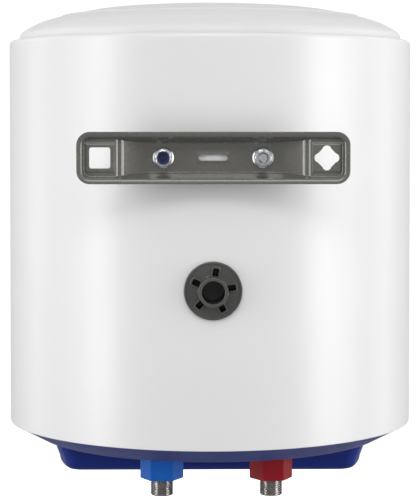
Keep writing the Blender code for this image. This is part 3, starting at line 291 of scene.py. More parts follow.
def makeTurningTree():
    tree, given = startTree("turning", {"railRadius": "Float", "facets": "Int", "weld": "Float"})
    line = tree.nodes.new("GeometryNodeMeshToCurve")
    rail = tree.nodes.new("GeometryNodeCurvePrimitiveCircle")
    sweep = tree.nodes.new("GeometryNodeCurveToMesh")
    weld = tree.nodes.new("GeometryNodeMergeByDistance")
    tree.links.new(given["Geometry"], line.inputs["Mesh"])
    tree.links.new(given["facets"], rail.inputs["Resolution"])
    tree.links.new(given["railRadius"], rail.inputs["Radius"])
    tree.links.new(rail.outputs[0], sweep.inputs["Curve"])
    tree.links.new(line.outputs[0], sweep.inputs["Profile Curve"])
    tree.links.new(sweep.outputs[0], weld.inputs["Geometry"])
    tree.links.new(given["weld"], weld.inputs["Distance"])
    return endTree(tree, weld.outputs[0], given)


# points on the outside pressed inwards by a pattern that runs from 0 to 1, fading out at both ends

def makePressingTree(name, patternInput, pattern):
    tree, given = startTree(name, {patternInput: "Float", "depth": "Float", "coreRadius": "Float",
                                   "start": "Float", "end": "Float", "fade": "Float"})
    where = tree.nodes.new("GeometryNodeInputPosition")
    apart = tree.nodes.new("ShaderNodeSeparateXYZ")
    tree.links.new(where.outputs[0], apart.inputs[0])
    x, y, z = apart.outputs
    radius = fromAxis(tree, x, y)
    outside = calc(tree, "GREATER_THAN", radius, given["coreRadius"])
    fadeIn = calc(tree, "DIVIDE", calc(tree, "SUBTRACT", z, given["start"]), given["fade"])
    fadeOut = calc(tree, "DIVIDE", calc(tree, "SUBTRACT", given["end"], z), given["fade"])
    inside = calc(tree, "MAXIMUM", calc(tree, "MINIMUM", calc(tree, "MINIMUM", fadeIn, fadeOut), 1), 0)
    pressed = calc(tree, "MULTIPLY", given["depth"], pattern(tree, given[patternInput], x, y, z))
    drop = calc(tree, "MULTIPLY", calc(tree, "MULTIPLY", pressed, inside), outside)
    left = calc(tree, "SUBTRACT", radius, drop)
    share = calc(tree, "DIVIDE", left, calc(tree, "MAXIMUM", radius, 1e-6))
    together = tree.nodes.new("ShaderNodeCombineXYZ")
    tree.links.new(calc(tree, "MULTIPLY", x, share), together.inputs[0])
    tree.links.new(calc(tree, "MULTIPLY", y, share), together.inputs[1])
    tree.links.new(z, together.inputs[2])
    move = tree.nodes.new("GeometryNodeSetPosition")
    tree.links.new(given["Geometry"], move.inputs["Geometry"])
    tree.links.new(together.outputs[0], move.inputs["Position"])
    return endTree(tree, move.outputs[0], given)


def helix(tree, pitch, x, y, z):  # a rounded thread form that climbs one pitch for each turn
    turn = calc(tree, "DIVIDE", calc(tree, "ARCTAN2", y, x), math.tau)
    climb = calc(tree, "SUBTRACT", calc(tree, "DIVIDE", z, pitch), turn)
    tooth = calc(tree, "MULTIPLY", calc(tree, "PINGPONG", climb, 0.5), 2)
    return calc(tree, "SMOOTH_MAX", calc(tree, "SMOOTH_MIN", tooth, 0.88, 0.12), 0.12, 0.12)


def grooves(tree, count, x, y, z):  # even grooves up and down the outside, as on a grip
    turn = calc(tree, "MULTIPLY", calc(tree, "ARCTAN2", y, x), count)
    wave = calc(tree, "MULTIPLY", calc(tree, "SUBTRACT", 1, calc(tree, "COSINE", turn)), 0.5)
    return calc(tree, "POWER", wave, 1.6)


# copies of one piece, spaced round the z axis

def makeCirclingTree():
    tree, given = startTree("circling", {"count": "Int", "firstTurn": "Float", "stepTurn": "Float"})
    points = tree.nodes.new("GeometryNodePoints")
    spread = tree.nodes.new("GeometryNodeInstanceOnPoints")
    index = tree.nodes.new("GeometryNodeInputIndex")
    turn = tree.nodes.new("ShaderNodeCombineXYZ")
    step = calc(tree, "MULTIPLY", index.outputs[0], given["stepTurn"])
    tree.links.new(calc(tree, "ADD", step, given["firstTurn"]), turn.inputs[2])
    tree.links.new(given["count"], points.inputs["Count"])
    tree.links.new(points.outputs[0], spread.inputs["Points"])
    tree.links.new(given["Geometry"], spread.inputs["Instance"])
    tree.links.new(turn.outputs[0], spread.inputs["Rotation"])
    return endTree(tree, spread.outputs[0], given)


turning = makeTurningTree()
threading = makePressingTree("threading", "pitch", helix)
fluting = makePressingTree("fluting", "flutes", grooves)
circling = makeCirclingTree()


def turned(name, profile, finish=None, facets=128, loop=False):  # profile of (radius, height)
    rail = max(point[0] for point in profile)
    mesh = bpy.data.meshes.new(name)
    edges = [(i, i + 1) for i in range(len(profile) - 1)]
    if loop:
        edges.append((len(profile) - 1, 0))
    mesh.from_pydata([(radius - rail, -height, 0) for radius, height, *_ in profile], edges, [])
    piece = bpy.data.objects.new(name, mesh)
    bpy.context.scene.collection.objects.link(piece)
    return runTree(piece, turning, railRadius=rail, facets=facets, weld=1e-6, finish=finish)


def drill(radius, low, high, facets=48):
    return turned("drill", [(0, low), (radius, low), (radius, high), (0, high)], None, facets)


# finishes: every one varies its colour, its gloss and its surface

finishLooks = {
    "whiteEnamel": dict(base=(0.685, 0.690, 0.687), second=(0.672, 0.677, 0.674), patch=7,
                        rough=(0.36, 0.42), roughPatch=9, grain=420, grainHeight=0.000012, ripple=26,
                        rippleHeight=0.00004, coat=0.35, coatRough=0.26, fleck=(0.62, 0.62, 0.62),
                        fleckSize=700, fleckShare=0.05),
    "lidPlastic": dict(base=(0.655, 0.657, 0.656), second=(0.640, 0.642, 0.641), patch=9,
                       rough=(0.36, 0.46), roughPatch=14, grain=900, grainHeight=0.00003, ripple=20,
                       rippleHeight=0.00005, fleck=(0.60, 0.61, 0.62), fleckSize=800, fleckShare=0.05),
    "blueCap": dict(base=(0.009, 0.025, 0.200), second=(0.008, 0.022, 0.185), patch=14,
                    rough=(0.34, 0.42), roughPatch=30, grain=1100, grainHeight=0.00003, ripple=40,
                    rippleHeight=0.00005, specular=0.20, fleck=(0.05, 0.07, 0.2), fleckSize=900,
                    fleckShare=0.08),
    "greyPaint": dict(base=(0.108, 0.106, 0.095), second=(0.101, 0.099, 0.089), patch=16,
                      rough=(0.24, 0.30), roughPatch=60, grain=620, grainHeight=0.00002, ripple=70,
                      rippleHeight=0.00002, metal=0.15, coat=1.0, coatRough=0.09,
                      fleck=(0.15, 0.15, 0.14), fleckSize=520, fleckShare=0.10),
    # the grey moulding's light edges are a painted highlight along the spacer's slot rims
    "greyMoulding": dict(base=(0.060, 0.059, 0.056), second=(0.054, 0.053, 0.050), patch=60,
                         rough=(0.32, 0.42), roughPatch=90, grain=1400, grainHeight=0.00004, ripple=120,
                         rippleHeight=0.00005, fleck=(0.16, 0.16, 0.15), fleckSize=900, fleckShare=0.1,
                         wearAndEdgeHighlight=(0.30, 0.29, 0.29), wearAndEdgeHighlightShare=0.8),
    "zincPlate": dict(base=(0.66, 0.67, 0.70), second=(0.57, 0.58, 0.60), patch=120, rough=(0.18, 0.30),
                      roughPatch=160, grain=1600, grainHeight=0.000008, ripple=260,
                      rippleHeight=0.00001, metal=1.0, stretch=(1, 1, 0.25), fleck=(0.46, 0.46, 0.47),
                      fleckSize=900, fleckShare=0.06),
    "threadSteel": dict(base=(0.43, 0.415, 0.40), second=(0.37, 0.355, 0.34), patch=120,
                        rough=(0.20, 0.28), roughPatch=160, grain=1500, grainHeight=0.00001, ripple=260,
                        rippleHeight=0.00001, metal=1.0, fleck=(0.33, 0.31, 0.30), fleckSize=700,
                        fleckShare=0.05),
    "blueCollar": dict(base=(0.006, 0.120, 0.520), second=(0.005, 0.110, 0.480), patch=50,
                       rough=(0.34, 0.44), roughPatch=90, grain=1200, grainHeight=0.00003, ripple=100,
                       rippleHeight=0.00004, specular=0.22, fleck=(0.03, 0.2, 0.55), fleckSize=900,
                       fleckShare=0.1),
    "redCollar": dict(base=(0.300, 0.006, 0.012), second=(0.270, 0.005, 0.010), patch=50,
                      rough=(0.34, 0.44), roughPatch=90, grain=1200, grainHeight=0.00003, ripple=100,
                      rippleHeight=0.00004, specular=0.22, fleck=(0.42, 0.04, 0.04), fleckSize=900,
                      fleckShare=0.1),
    "blueNylon": dict(base=(0.006, 0.016, 0.10), second=(0.004, 0.010, 0.06), patch=220,
                      rough=(0.32, 0.45), roughPatch=300, grain=2000, grainHeight=0.00003, ripple=300,
                      rippleHeight=0.00004, fleck=(0.02, 0.05, 0.2), fleckSize=1200, fleckShare=0.1),
    "tankEnamel": dict(base=(0.05, 0.09, 0.13), second=(0.035, 0.065, 0.10), patch=12,
                       rough=(0.15, 0.25), roughPatch=40, grain=300, grainHeight=0.0001, ripple=45,
                       rippleHeight=0.0004, coat=0.6, coatRough=0.1, fleck=(0.2, 0.24, 0.28),
                       fleckSize=350, fleckShare=0.2),
    "foamYellow": dict(base=(0.62, 0.50, 0.27), second=(0.50, 0.38, 0.18), patch=22, rough=(0.85, 0.95),
                       roughPatch=90, grain=420, grainHeight=0.0006, ripple=70, rippleHeight=0.0015,
                       fleck=(0.30, 0.22, 0.10), fleckSize=260, fleckShare=0.3),
    "milkyPlastic": dict(base=(0.62, 0.61, 0.56), second=(0.55, 0.54, 0.49), patch=40,
                         rough=(0.35, 0.5), roughPatch=90, grain=1000, grainHeight=0.00005, ripple=90,
                         rippleHeight=0.0001, under=0.15, fleck=(0.5, 0.49, 0.44), fleckSize=500,
                         fleckShare=0.1),
    "blackRubber": dict(base=(0.022, 0.022, 0.023), second=(0.034, 0.034, 0.034), patch=90,
                        rough=(0.6, 0.78), roughPatch=140, grain=1300, grainHeight=0.0001, ripple=200,
                        rippleHeight=0.0001, fleck=(0.07, 0.07, 0.07), fleckSize=900, fleckShare=0.15),
    "elementSheath": dict(base=(0.46, 0.37, 0.28), second=(0.30, 0.24, 0.20), patch=60,
                          rough=(0.3, 0.5), roughPatch=120, grain=900, grainHeight=0.00006, ripple=150,
                          rippleHeight=0.0001, metal=1.0, stretch=(1, 1, 0.2), fleck=(0.16, 0.13, 0.12),
                          fleckSize=400, fleckShare=0.3),
    "castMagnesium": dict(base=(0.47, 0.47, 0.45), second=(0.36, 0.36, 0.35), patch=90,
                          rough=(0.5, 0.7), roughPatch=150, grain=800, grainHeight=0.00016, ripple=140,
                          rippleHeight=0.0002, metal=0.9, fleck=(0.25, 0.25, 0.25), fleckSize=500,
                          fleckShare=0.3),
    "creamPlastic": dict(base=(0.66, 0.60, 0.46), second=(0.60, 0.54, 0.41), patch=60,
                         rough=(0.35, 0.5), roughPatch=120, grain=1200, grainHeight=0.00005, ripple=100,
                         rippleHeight=0.0001, fleck=(0.5, 0.44, 0.32), fleckSize=700, fleckShare=0.12),
    "turnedBrass": dict(base=(0.72, 0.52, 0.22), second=(0.60, 0.42, 0.17), patch=120,
                        rough=(0.2, 0.36), roughPatch=240, grain=1800, grainHeight=0.00004, ripple=300,
                        rippleHeight=0.00004, metal=1.0, stretch=(0.3, 0.3, 3), fleck=(0.4, 0.28, 0.12),
                        fleckSize=900, fleckShare=0.2),
    "knobPlastic": dict(base=(0.60, 0.61, 0.63), second=(0.55, 0.56, 0.585), patch=60,
                        rough=(0.38, 0.5), roughPatch=120, grain=1400, grainHeight=0.00007, ripple=120,
                        rippleHeight=0.0001, fleck=(0.45, 0.46, 0.48), fleckSize=900, fleckShare=0.12,
                        wearAndEdgeHighlight=(0.70, 0.71, 0.73), wearAndEdgeHighlightShare=0.3),
    "redPlastic": dict(base=(0.42, 0.02, 0.02), second=(0.34, 0.015, 0.015), patch=200,
                       rough=(0.3, 0.42), roughPatch=260, grain=1800, grainHeight=0.00003, ripple=300,
                       rippleHeight=0.00004, fleck=(0.55, 0.08, 0.08), fleckSize=1200, fleckShare=0.1),
    "blackPlastic": dict(base=(0.018, 0.018, 0.019), second=(0.026, 0.026, 0.027), patch=110,
                         rough=(0.4, 0.55), roughPatch=180, grain=1500, grainHeight=0.00007, ripple=200,
                         rippleHeight=0.0001, fleck=(0.05, 0.05, 0.05), fleckSize=1000,
                         fleckShare=0.14),
    "amberLens": dict(base=(0.80, 0.28, 0.03), second=(0.70, 0.20, 0.02), patch=160, rough=(0.10, 0.2),
                      roughPatch=240, grain=900, grainHeight=0.00003, ripple=260, rippleHeight=0.00005,
                      clear=0.45, fleck=(0.9, 0.4, 0.08), fleckSize=900, fleckShare=0.1),
    "brownWire": dict(base=(0.10, 0.035, 0.015), second=(0.07, 0.025, 0.012), patch=150,
                      rough=(0.4, 0.55), roughPatch=220, grain=1600, grainHeight=0.00005, ripple=240,
                      rippleHeight=0.00006, fleck=(0.16, 0.06, 0.03), fleckSize=1100, fleckShare=0.12),
    "blueWire": dict(base=(0.02, 0.12, 0.45), second=(0.015, 0.09, 0.36), patch=150, rough=(0.4, 0.55),
                     roughPatch=220, grain=1600, grainHeight=0.00005, ripple=240, rippleHeight=0.00006,
                     fleck=(0.06, 0.2, 0.55), fleckSize=1100, fleckShare=0.12),
    "blackWire": dict(base=(0.02, 0.02, 0.02), second=(0.03, 0.03, 0.03), patch=150, rough=(0.4, 0.55),
                      roughPatch=220, grain=1600, grainHeight=0.00005, ripple=240, rippleHeight=0.00006,
                      fleck=(0.06, 0.06, 0.06), fleckSize=1100, fleckShare=0.12),
}


def makeFinish(name, look):
    material = bpy.data.materials.new(name)
    material.use_nodes = True
    tree = material.node_tree
    shader = tree.nodes["Principled BSDF"]
    link = tree.links.new
    spot = tree.nodes.new("ShaderNodeTexCoord")
    grid = tree.nodes.new("ShaderNodeMapping")
    grid.inputs["Scale"].default_value = look.get("stretch", (1, 1, 1))
    link(spot.outputs["Object"], grid.inputs["Vector"])

    def noise(size, detail=3.0):
        node = tree.nodes.new("ShaderNodeTexNoise")
        node.inputs["Scale"].default_value = size
        node.inputs["Detail"].default_value = detail
        node.inputs["Roughness"].default_value = 0.55
        link(grid.outputs[0], node.inputs["Vector"])
        return node.outputs["Fac"]

    def blendColour(amount, first, second):
        node = tree.nodes.new("ShaderNodeMix")
        node.data_type = "RGBA"
        link(amount, node.inputs["Factor"])
        for entry, value in ((node.inputs[6], first), (node.inputs[7], second)):
            if isinstance(value, bpy.types.NodeSocket):
                link(value, entry)
            else:
                entry.default_value = (*value, 1)
        return node.outputs[2]

    patches = rangeOf(tree, noise(look["patch"]), 0.35, 0.65, 0, 1)
    colour = blendColour(patches, look["base"], look["second"])
    specks = rangeOf(tree, noise(look["fleckSize"], 2.0), 0.60, 0.72, 0, look["fleckShare"])
    colour = blendColour(specks, colour, look["fleck"])
    # edges lightened by pointiness: wear on the knob, a painted highlight on the grey moulding's rims
    if "wearAndEdgeHighlight" in look:
        shape = tree.nodes.new("ShaderNodeNewGeometry")
        edge = rangeOf(tree, shape.outputs["Pointiness"], 0.515, 0.56, 0, 1)
        patchy = rangeOf(tree, noise(look["patch"] * 4), 0.42, 0.62, 0.35, 1)
        wornAndHighlighted = calc(tree, "MULTIPLY", calc(tree, "MULTIPLY", edge, patchy), look["wearAndEdgeHighlightShare"])
        colour = blendColour(wornAndHighlighted, colour, look["wearAndEdgeHighlight"])
    link(colour, shader.inputs["Base Color"])
    gloss = rangeOf(tree, noise(look["roughPatch"]), 0.3, 0.7, *look["rough"])
    link(gloss, shader.inputs["Roughness"])

    fine = tree.nodes.new("ShaderNodeBump")
    fine.inputs["Strength"].default_value = 0.6
    fine.inputs["Distance"].default_value = look["grainHeight"]
    link(noise(look["grain"], 2.0), fine.inputs["Height"])
    broad = tree.nodes.new("ShaderNodeBump")
    broad.inputs["Strength"].default_value = 0.5
    broad.inputs["Distance"].default_value = look["rippleHeight"]
    link(noise(look["ripple"], 1.0), broad.inputs["Height"])
    link(fine.outputs[0], broad.inputs["Normal"])
    link(broad.outputs[0], shader.inputs["Normal"])

    shader.inputs["Metallic"].default_value = look.get("metal", 0.0)
    shader.inputs["Coat Weight"].default_value = look.get("coat", 0.0)
    shader.inputs["Coat Roughness"].default_value = look.get("coatRough", 0.1)
    shader.inputs["Specular IOR Level"].default_value = look.get("specular", 0.5)
    shader.inputs["Subsurface Weight"].default_value = look.get("under", 0.0)
    shader.inputs["Transmission Weight"].default_value = look.get("clear", 0.0)
    return material


finishes = {name: makeFinish(name, look) for name, look in finishLooks.items()}

slotFinish = {
    "white_enamel_steel": "whiteEnamel", "white_plastic": "lidPlastic", "blue_plastic": "blueCap",
    "grey_painted_steel": "greyPaint", "zinc_steel": "zincPlate", "blue_nylon": "blueNylon",
    "grey_plastic": "greyMoulding", "enamelled_steel": "tankEnamel", "foam": "foamYellow",
    "pipe_steel": "threadSteel", "collar_blue": "blueCollar", "collar_red": "redCollar",
    "natural_plastic": "milkyPlastic", "gasket_rubber": "blackRubber", "element_sheath": "elementSheath",
    "magnesium": "castMagnesium", "cream_plastic": "creamPlastic", "brass": "turnedBrass",
    "knob_plastic": "knobPlastic", "red_plastic": "redPlastic", "black_plastic": "blackPlastic",
    "amber_plastic": "amberLens", "brown_insulation": "brownWire", "blue_insulation": "blueWire",
    "black_insulation": "blackWire",
}
slotOf = {part["node"]: part["material_slot"] for part in frame["record"]["subparts"]}
for nodeName, node in nodes.items():
    if not node.material_slots:
        node.data.materials.append(None)
    for entry in node.material_slots:
        entry.material = finishes[slotFinish[slotOf[nodeName]]]
print("finishes on every part,", len(finishes))


def standFor(piece, *names, body="heater"):  # shown in place of these model parts
    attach(piece, body)
    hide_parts(*names)
    return piece


def finishOf(nodeName):
    return finishes[slotFinish[slotOf[nodeName]]]


# jacket: one turned sheet with a rolled shoulder and a rounded foot, then its holes

jacketSize = dict(sheet=0.0010, shoulder=0.0045, lidRadius=0.1838, facets=256,
                  studX=0.04275, studHole=0.0065, plugHole=0.0230, screwZ=0.0040, screwHole=0.0021,
                  screwTurns=(-20, -90, -160))


def makeJacket(size):
    low, high = jacketFoot, jacketHigh.z
    outer = jacketRadius
    inner = outer - size["sheet"]
    section = softened([
        (inner, low), (outer - 0.0001, low, 0.0004), (outer, low + 0.0012),
        (outer, low + 0.12), (outer, low + 0.24), (outer, high - 0.008),
        (outer, high, size["shoulder"]), (size["lidRadius"], high, 0.0003),
        (size["lidRadius"], high - size["sheet"], 0.0003),
        (inner, high - size["sheet"], size["shoulder"] - size["sheet"]),
    ], loop=True, steps=8)
    jacket = turned("jacket", section, finishOf("outer_jacket"), size["facets"], loop=True)
    place(jacket, atAxis)
    studZ = middleOf("wall_bracket")[2]
    plugZ = middleOf("wall_spacer")[2]
    cutters = []
    for x, z, radius in ((size["studX"], studZ, size["studHole"]),
                         (-size["studX"], studZ, size["studHole"]), (0, plugZ, size["plugHole"])):
        cutters.append(place(drill(radius, -0.045, 0.01), facingWall(x, z)))
    for turn in size["screwTurns"]:
        outward = (atAxis @ Matrix.Rotation(math.radians(turn), 4, "Z")
                   @ Matrix.Translation((outer, 0, low + size["screwZ"]))
                   @ Matrix.Rotation(math.radians(90), 4, "Y"))
        cutters.append(place(drill(size["screwHole"], -0.01, 0.01, 24), outward))
    carve(jacket, *cutters)
    return standFor(jacket, "outer_jacket")


makeJacket(jacketSize)
print("jacket")


# lid: a steep side, a soft shoulder, a thin raised bead, then a shallow dome

lidSize = dict(wall=0.0020, hook=0.0035, hookTop=-0.0013, facets=256, beadRadius=0.1410, bead=0.0005,
               outline=[(0.1835, 0.0003), (0.1827, 0.0045), (0.1812, 0.0070), (0.1790, 0.0088),
                        (0.1760, 0.0107), (0.1700, 0.0140), (0.1640, 0.0168), (0.1530, 0.0204),
                        (0.1445, 0.0227)],
               dome=[(0.1375, 0.0242), (0.1250, 0.0270), (0.1100, 0.0297), (0.0900, 0.0318),
                     (0.0705, 0.0330), (0.0450, 0.0339), (0.0200, 0.0344), (0.0, 0.0345)])


def flowing(points, steps=4):  # a smooth line through points
    made = []
    ends = [points[0], *points, points[-1]]
    for a, b, c, d in zip(ends, ends[1:], ends[2:], ends[3:]):
        for k in range(steps):
            t = k / steps
            made.append(tuple(
                0.5 * (2 * q + (r - p) * t + (2 * p - 5 * q + 4 * r - s) * t * t
                       + (3 * q - p - 3 * r + s) * t ** 3)
                for p, q, r, s in zip(a, b, c, d)))
    return made + [points[-1]]


def makeLid(size):
    top = jacketHigh.z
    edge = size["beadRadius"]
    bead = [(edge + 0.0022, 0.0234), (edge + 0.0014, 0.0240 + size["bead"] * 0.4),
            (edge, 0.0238 + size["bead"]), (edge - 0.0012, 0.0240 + size["bead"] * 0.5)]
    outside = flowing(size["outline"]) + bead + flowing(size["dome"])
    inside = [(max(r - size["wall"] * 0.8, 0), z - size["wall"]) for r, z in size["dome"][::-1]]
    inside += [(r - size["wall"], z - size["wall"]) for r, z in size["outline"][::-1][:-1]]
    hookTop = size["hookTop"]
    rim = size["outline"][0][0]
    hook = [(rim - size["wall"], hookTop - size["wall"]), (rim + size["hook"], hookTop - size["wall"]),
            (rim + size["hook"], hookTop), (rim, hookTop)]
    section = [(0, outside[-1][1] - size["wall"])] + inside[1:] + hook + outside
    lid = turned("lid", [(r, z + top) for r, z in section], finishOf("top_lid"), size["facets"])
    place(lid, atAxis)
    return standFor(lid, "top_lid")


makeLid(lidSize)
print("lid")


# bottom cap: spigot, cone, ledge with the pipe boss, and a D-shaped drum with the knob's well

capSize = dict(wall=0.0022, spigot=0.0080, cone=0.0150, ledgeRadius=0.1630, drumRadius=0.1530,
               drumRear=0.0585, drumDepth=0.0436, draft=20, rearDraft=5, corner=0.0120, lowEdge=0.0080,
               fillet=(0.0012, 0.0004),
               wellRadius=0.0220, wellDepth=0.0096, shaft=0.0035, steps=240,
               boss=(0.158, 0.050, 0.0015), bossAt=(-0.0045, 0.1010), pipeHole=0.01098,
               pipes=((0.0455, 0.1010), (-0.0545, 0.1010)), gland=(0.0760, -0.0600, 0.0078),
               lamp=(-0.0480, -0.0700, 0.0053))


def drumReach(angle, radius, rear, corner):
    side, back = abs(math.cos(angle)), math.sin(angle)
    centreY = rear - corner
    centreX = math.sqrt((radius - corner) ** 2 - centreY ** 2)
    turn = math.atan2(back, side)
    if turn <= math.atan2(centreY, centreX):
        return radius
    if turn >= math.atan2(rear, centreX):
        return rear / back
    along = side * centreX + back * centreY
    return along + math.sqrt(along ** 2 - centreX ** 2 - centreY ** 2 + corner ** 2)


def capAngles(size):  # even steps, closer together round the drum's two rear corners
    centreY = size["drumRear"] - size["corner"]
    centreX = math.sqrt((size["drumRadius"] - size["corner"]) ** 2 - centreY ** 2)
    first, last = math.atan2(centreY, centreX), math.atan2(size["drumRear"], centreX)
    close = [first + (last - first) * (i - 2) / 12 for i in range(17)]
    close += [math.pi - angle for angle in close]
    even = [math.tau * i / size["steps"] for i in range(size["steps"])]
    return sorted([a for a in even if min(abs(a - b) for b in close) > 0.012] + close)


def makeCap(size):
    angles = capAngles(size)
    capLow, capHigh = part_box("bottom_cap")
    spigotRadius = (capHigh.x - capLow.x) / 2

    def ring(radius, z):
        return roundRing(radius, z, angles)

    def drumRing(radius, rear, z, corner):
        return [(drumReach(a, radius, rear, corner) * math.cos(a),
                 drumReach(a, radius, rear, corner) * math.sin(a), z) for a in angles]

    def drumSide(inset, low):
        rings = []
        start = inset - size["cone"]
        radius, rear = size["drumRadius"] - inset, size["drumRear"] - inset
        corner, edge = size["corner"] - inset, size["lowEdge"] - inset
        fillet = size["fillet"][1 if inset else 0]
        turn = low + edge
        lean, back = math.tan(math.radians(size["draft"])), math.tan(math.radians(size["rearDraft"]))
        for k in range(4):  # the fillet under the ledge
            part = math.radians(90 * k / 4)
            out = fillet * (1 - math.sin(part))
            z = start - fillet * (1 - math.cos(part))
            fall = start - z
            rings.append(drumRing(radius - fall * lean + out, rear - fall * back + out, z, corner))
        for k in range(1, 6):
            z = start - fillet - (start - fillet - turn) * k / 6
            fall = start - z
            rings.append(drumRing(radius - fall * lean, rear - fall * back, z, corner))
        side, rearFoot = radius - (start - turn) * lean, rear - (start - turn) * back
        for k in range(9):  # the rounded lower edge
            part = math.radians(90 * k / 8)
            x, z = edge * (math.cos(part) - 1), turn - edge * math.sin(part)
            rings.append(drumRing(side + x, rearFoot + x, z, corner))
        return rings

    wall, cone, ledge = size["wall"], size["cone"], size["ledgeRadius"]
    wellRoof = -size["drumDepth"] + size["wellDepth"]
    slope = softened([(spigotRadius, -0.0006, 0.0004), (ledge + 0.0006, -cone, 0.0016),
                      (ledge - 0.004, -cone)], steps=6)
    rings = [ring(spigotRadius, size["spigot"] - 0.0004), ring(spigotRadius, 0.0)]
    rings += [ring(r, z) for r, z in slope]
    rings += drumSide(0, -size["drumDepth"])
    well, foot = size["wellRadius"], -size["drumDepth"]
    edge = [(well + 0.0010, foot), (well + 0.0003, foot + 0.0003), (well, foot + 0.0010),
            (well, wellRoof - 0.0008), (well - 0.0008, wellRoof), (size["shaft"], wellRoof)]
    rings += [ring(r, z) for r, z in edge]
    inner = [ring(spigotRadius - wall, size["spigot"]), ring(spigotRadius - wall, wall - 0.0003),
             ring(ledge - wall / 2, wall - cone)]
    floor = wall - size["drumDepth"]
    inner += drumSide(wall, floor)
    inner += [ring(well + wall, floor), ring(well + wall, wellRoof + wall),
              ring(size["shaft"], wellRoof + wall)]
    cap = stackRings("bottomCap", rings + inner[::-1], finishOf("bottom_cap"), loop=True)
    length, width, height = size["boss"]
    bossOutline = roundedOutline(length, width, width / 2 - 0.001, 16, size["bossAt"])
    boss = prism("boss", [(x, -y) for x, y in bossOutline], cone - wall / 2, cone + height, edge=0.0010)
    place(boss, Matrix.Rotation(math.pi, 4, "X"))
    carve(cap, boss, operation="UNION")
    cutters = []
    holes = [(x, y, size["pipeHole"]) for x, y in size["pipes"]] + [size["gland"], size["lamp"]]
    for x, y, radius in holes:
        cutters.append(place(drill(radius, -0.06, 0.02), Matrix.Translation((x, y, 0))))
    carve(cap, *cutters)
    place(cap, Matrix.Translation((axisX, axisY, jacketFoot)))
    return standFor(cap, "bottom_cap")


makeCap(capSize)
print("bottom cap")


# wall bracket: pressed from one sheet, with a flat rim, raised ends and a deep middle

bracketSize = dict(corner=0.0114, rim=0.0042, sheet=0.0020, draft=15, rimRoll=0.0010, footRoll=0.0038,
                   bevel=0.0014, bevelSlope=36, ease=1.6,
                   steps=((0.0829, 0.0055), (0.0817, 0.0070), (0.0784, 0.0074), (0.0772, 0.0087)),
                   baseEdge=0.0510, hookX=0.0968, hookHole=0.0179, hookCorner=0.0018, lobe=0.0040,
                   padHalf=0.0125, padLift=0.0008, slot=(0.0256, 0.0052), slotLip=0.0005,
                   stud=0.04275, studHole=0.0045, columns=420, endSteps=(8, 12, 10))


def bracketLoops(size, length, height):
    insets = [0, 0.0003, 0.0010, 0.0020, 0.0030]
    insets += [0.0034 + 0.0003 * k for k in range(24)]
    insets += [0.0108 + 0.0012 * k for k in range(9)]
    flat = (length - height) / 2
    insets = [d for d in insets if d < height / 2 - 0.0004] + [height / 2 - 0.00005]
    loops = []
    for inset in insets:
        reach, rise = length / 2 - inset, height / 2 - inset
        corner = max(size["corner"] - inset, 0.00001)
        run, curve, side = size["endSteps"]
        quarter = []
        for k in range(run):
            quarter.append((flat + (reach - corner - flat) * k / run, rise))
        for k in range(curve):
            turn = math.radians(90 - 90 * k / curve)
            quarter.append((reach - corner + corner * math.cos(turn),
                            rise - corner + corner * math.sin(turn)))
        for k in range(side):
            quarter.append((reach, (rise - corner) * (1 - k / side)))
        end = quarter + [(reach, 0)] + [(x, -z) for x, z in quarter[:0:-1]]
        top = [(-flat + 2 * flat * k / size["columns"], rise) for k in range(size["columns"])]
        right = end + [(flat, -rise)]
        half = top + right[:-1]
        loops.append((inset, half + [(-x, -z) for x, z in half]))
    return loops


def bracketFloor(size, x):  # the pad, two small steps down, a ramp, and the deep middle
    line = [*size["steps"], (size["baseEdge"], size["deep"])]

    def plain(x):
        if x >= line[0][0]:
            return line[0][1]
        for (outer, above), (inner, below) in zip(line, line[1:]):
            if x >= inner:
                part = (outer - x) / (outer - inner)
                if inner == size["baseEdge"]:  # the ramp levels out towards the middle
                    part = 1 - (1 - part) ** size["ease"]
                return above + (below - above) * part
        return size["deep"]

    return sum(plain(abs(x) + 0.0006 * (k - 3) / 3) for k in range(7)) / 7  # eased corners


def bracketDepth(size, x, z, inset):
    floor = bracketFloor(size, x)
    if abs(x) > size["steps"][-1][0]:
        away = max(abs(abs(x) - size["hookX"]), abs(z)) - size["padHalf"]
        floor -= size["padLift"] * (1 - smoothStep(away, -0.0012, 0.0006))
    lip = max(abs(x) - size["slot"][0] / 2, abs(z) - size["slot"][1] / 2)
    floor -= size["slotLip"] * (1 - smoothStep(lip, 0.0006, 0.0026))
    wallLine = (inset - size["rim"]) / math.tan(math.radians(size["draft"]))
    bevelLine = (inset - size["rim"] + size["bevel"]) * math.tan(math.radians(size["bevelSlope"]))
    depth = softMin(max(wallLine, bevelLine), floor, size["footRoll"])
    return softMax(depth, 0, size["rimRoll"]) if inset > 0 else 0


def lobedOutline(size, centreX):
    reach = size["hookHole"] / 2 * math.sqrt(2) * 0.84 - size["lobe"]
    made = []
    for towards in (0, 90, 180, 270):
        x, z = reach * math.cos(math.radians(towards)), reach * math.sin(math.radians(towards))
        for k in range(13):
            turn = math.radians(towards - 75 + 150 * k / 12)
            made.append((centreX + x + size["lobe"] * math.cos(turn), z + size["lobe"] * math.sin(turn)))
    return made


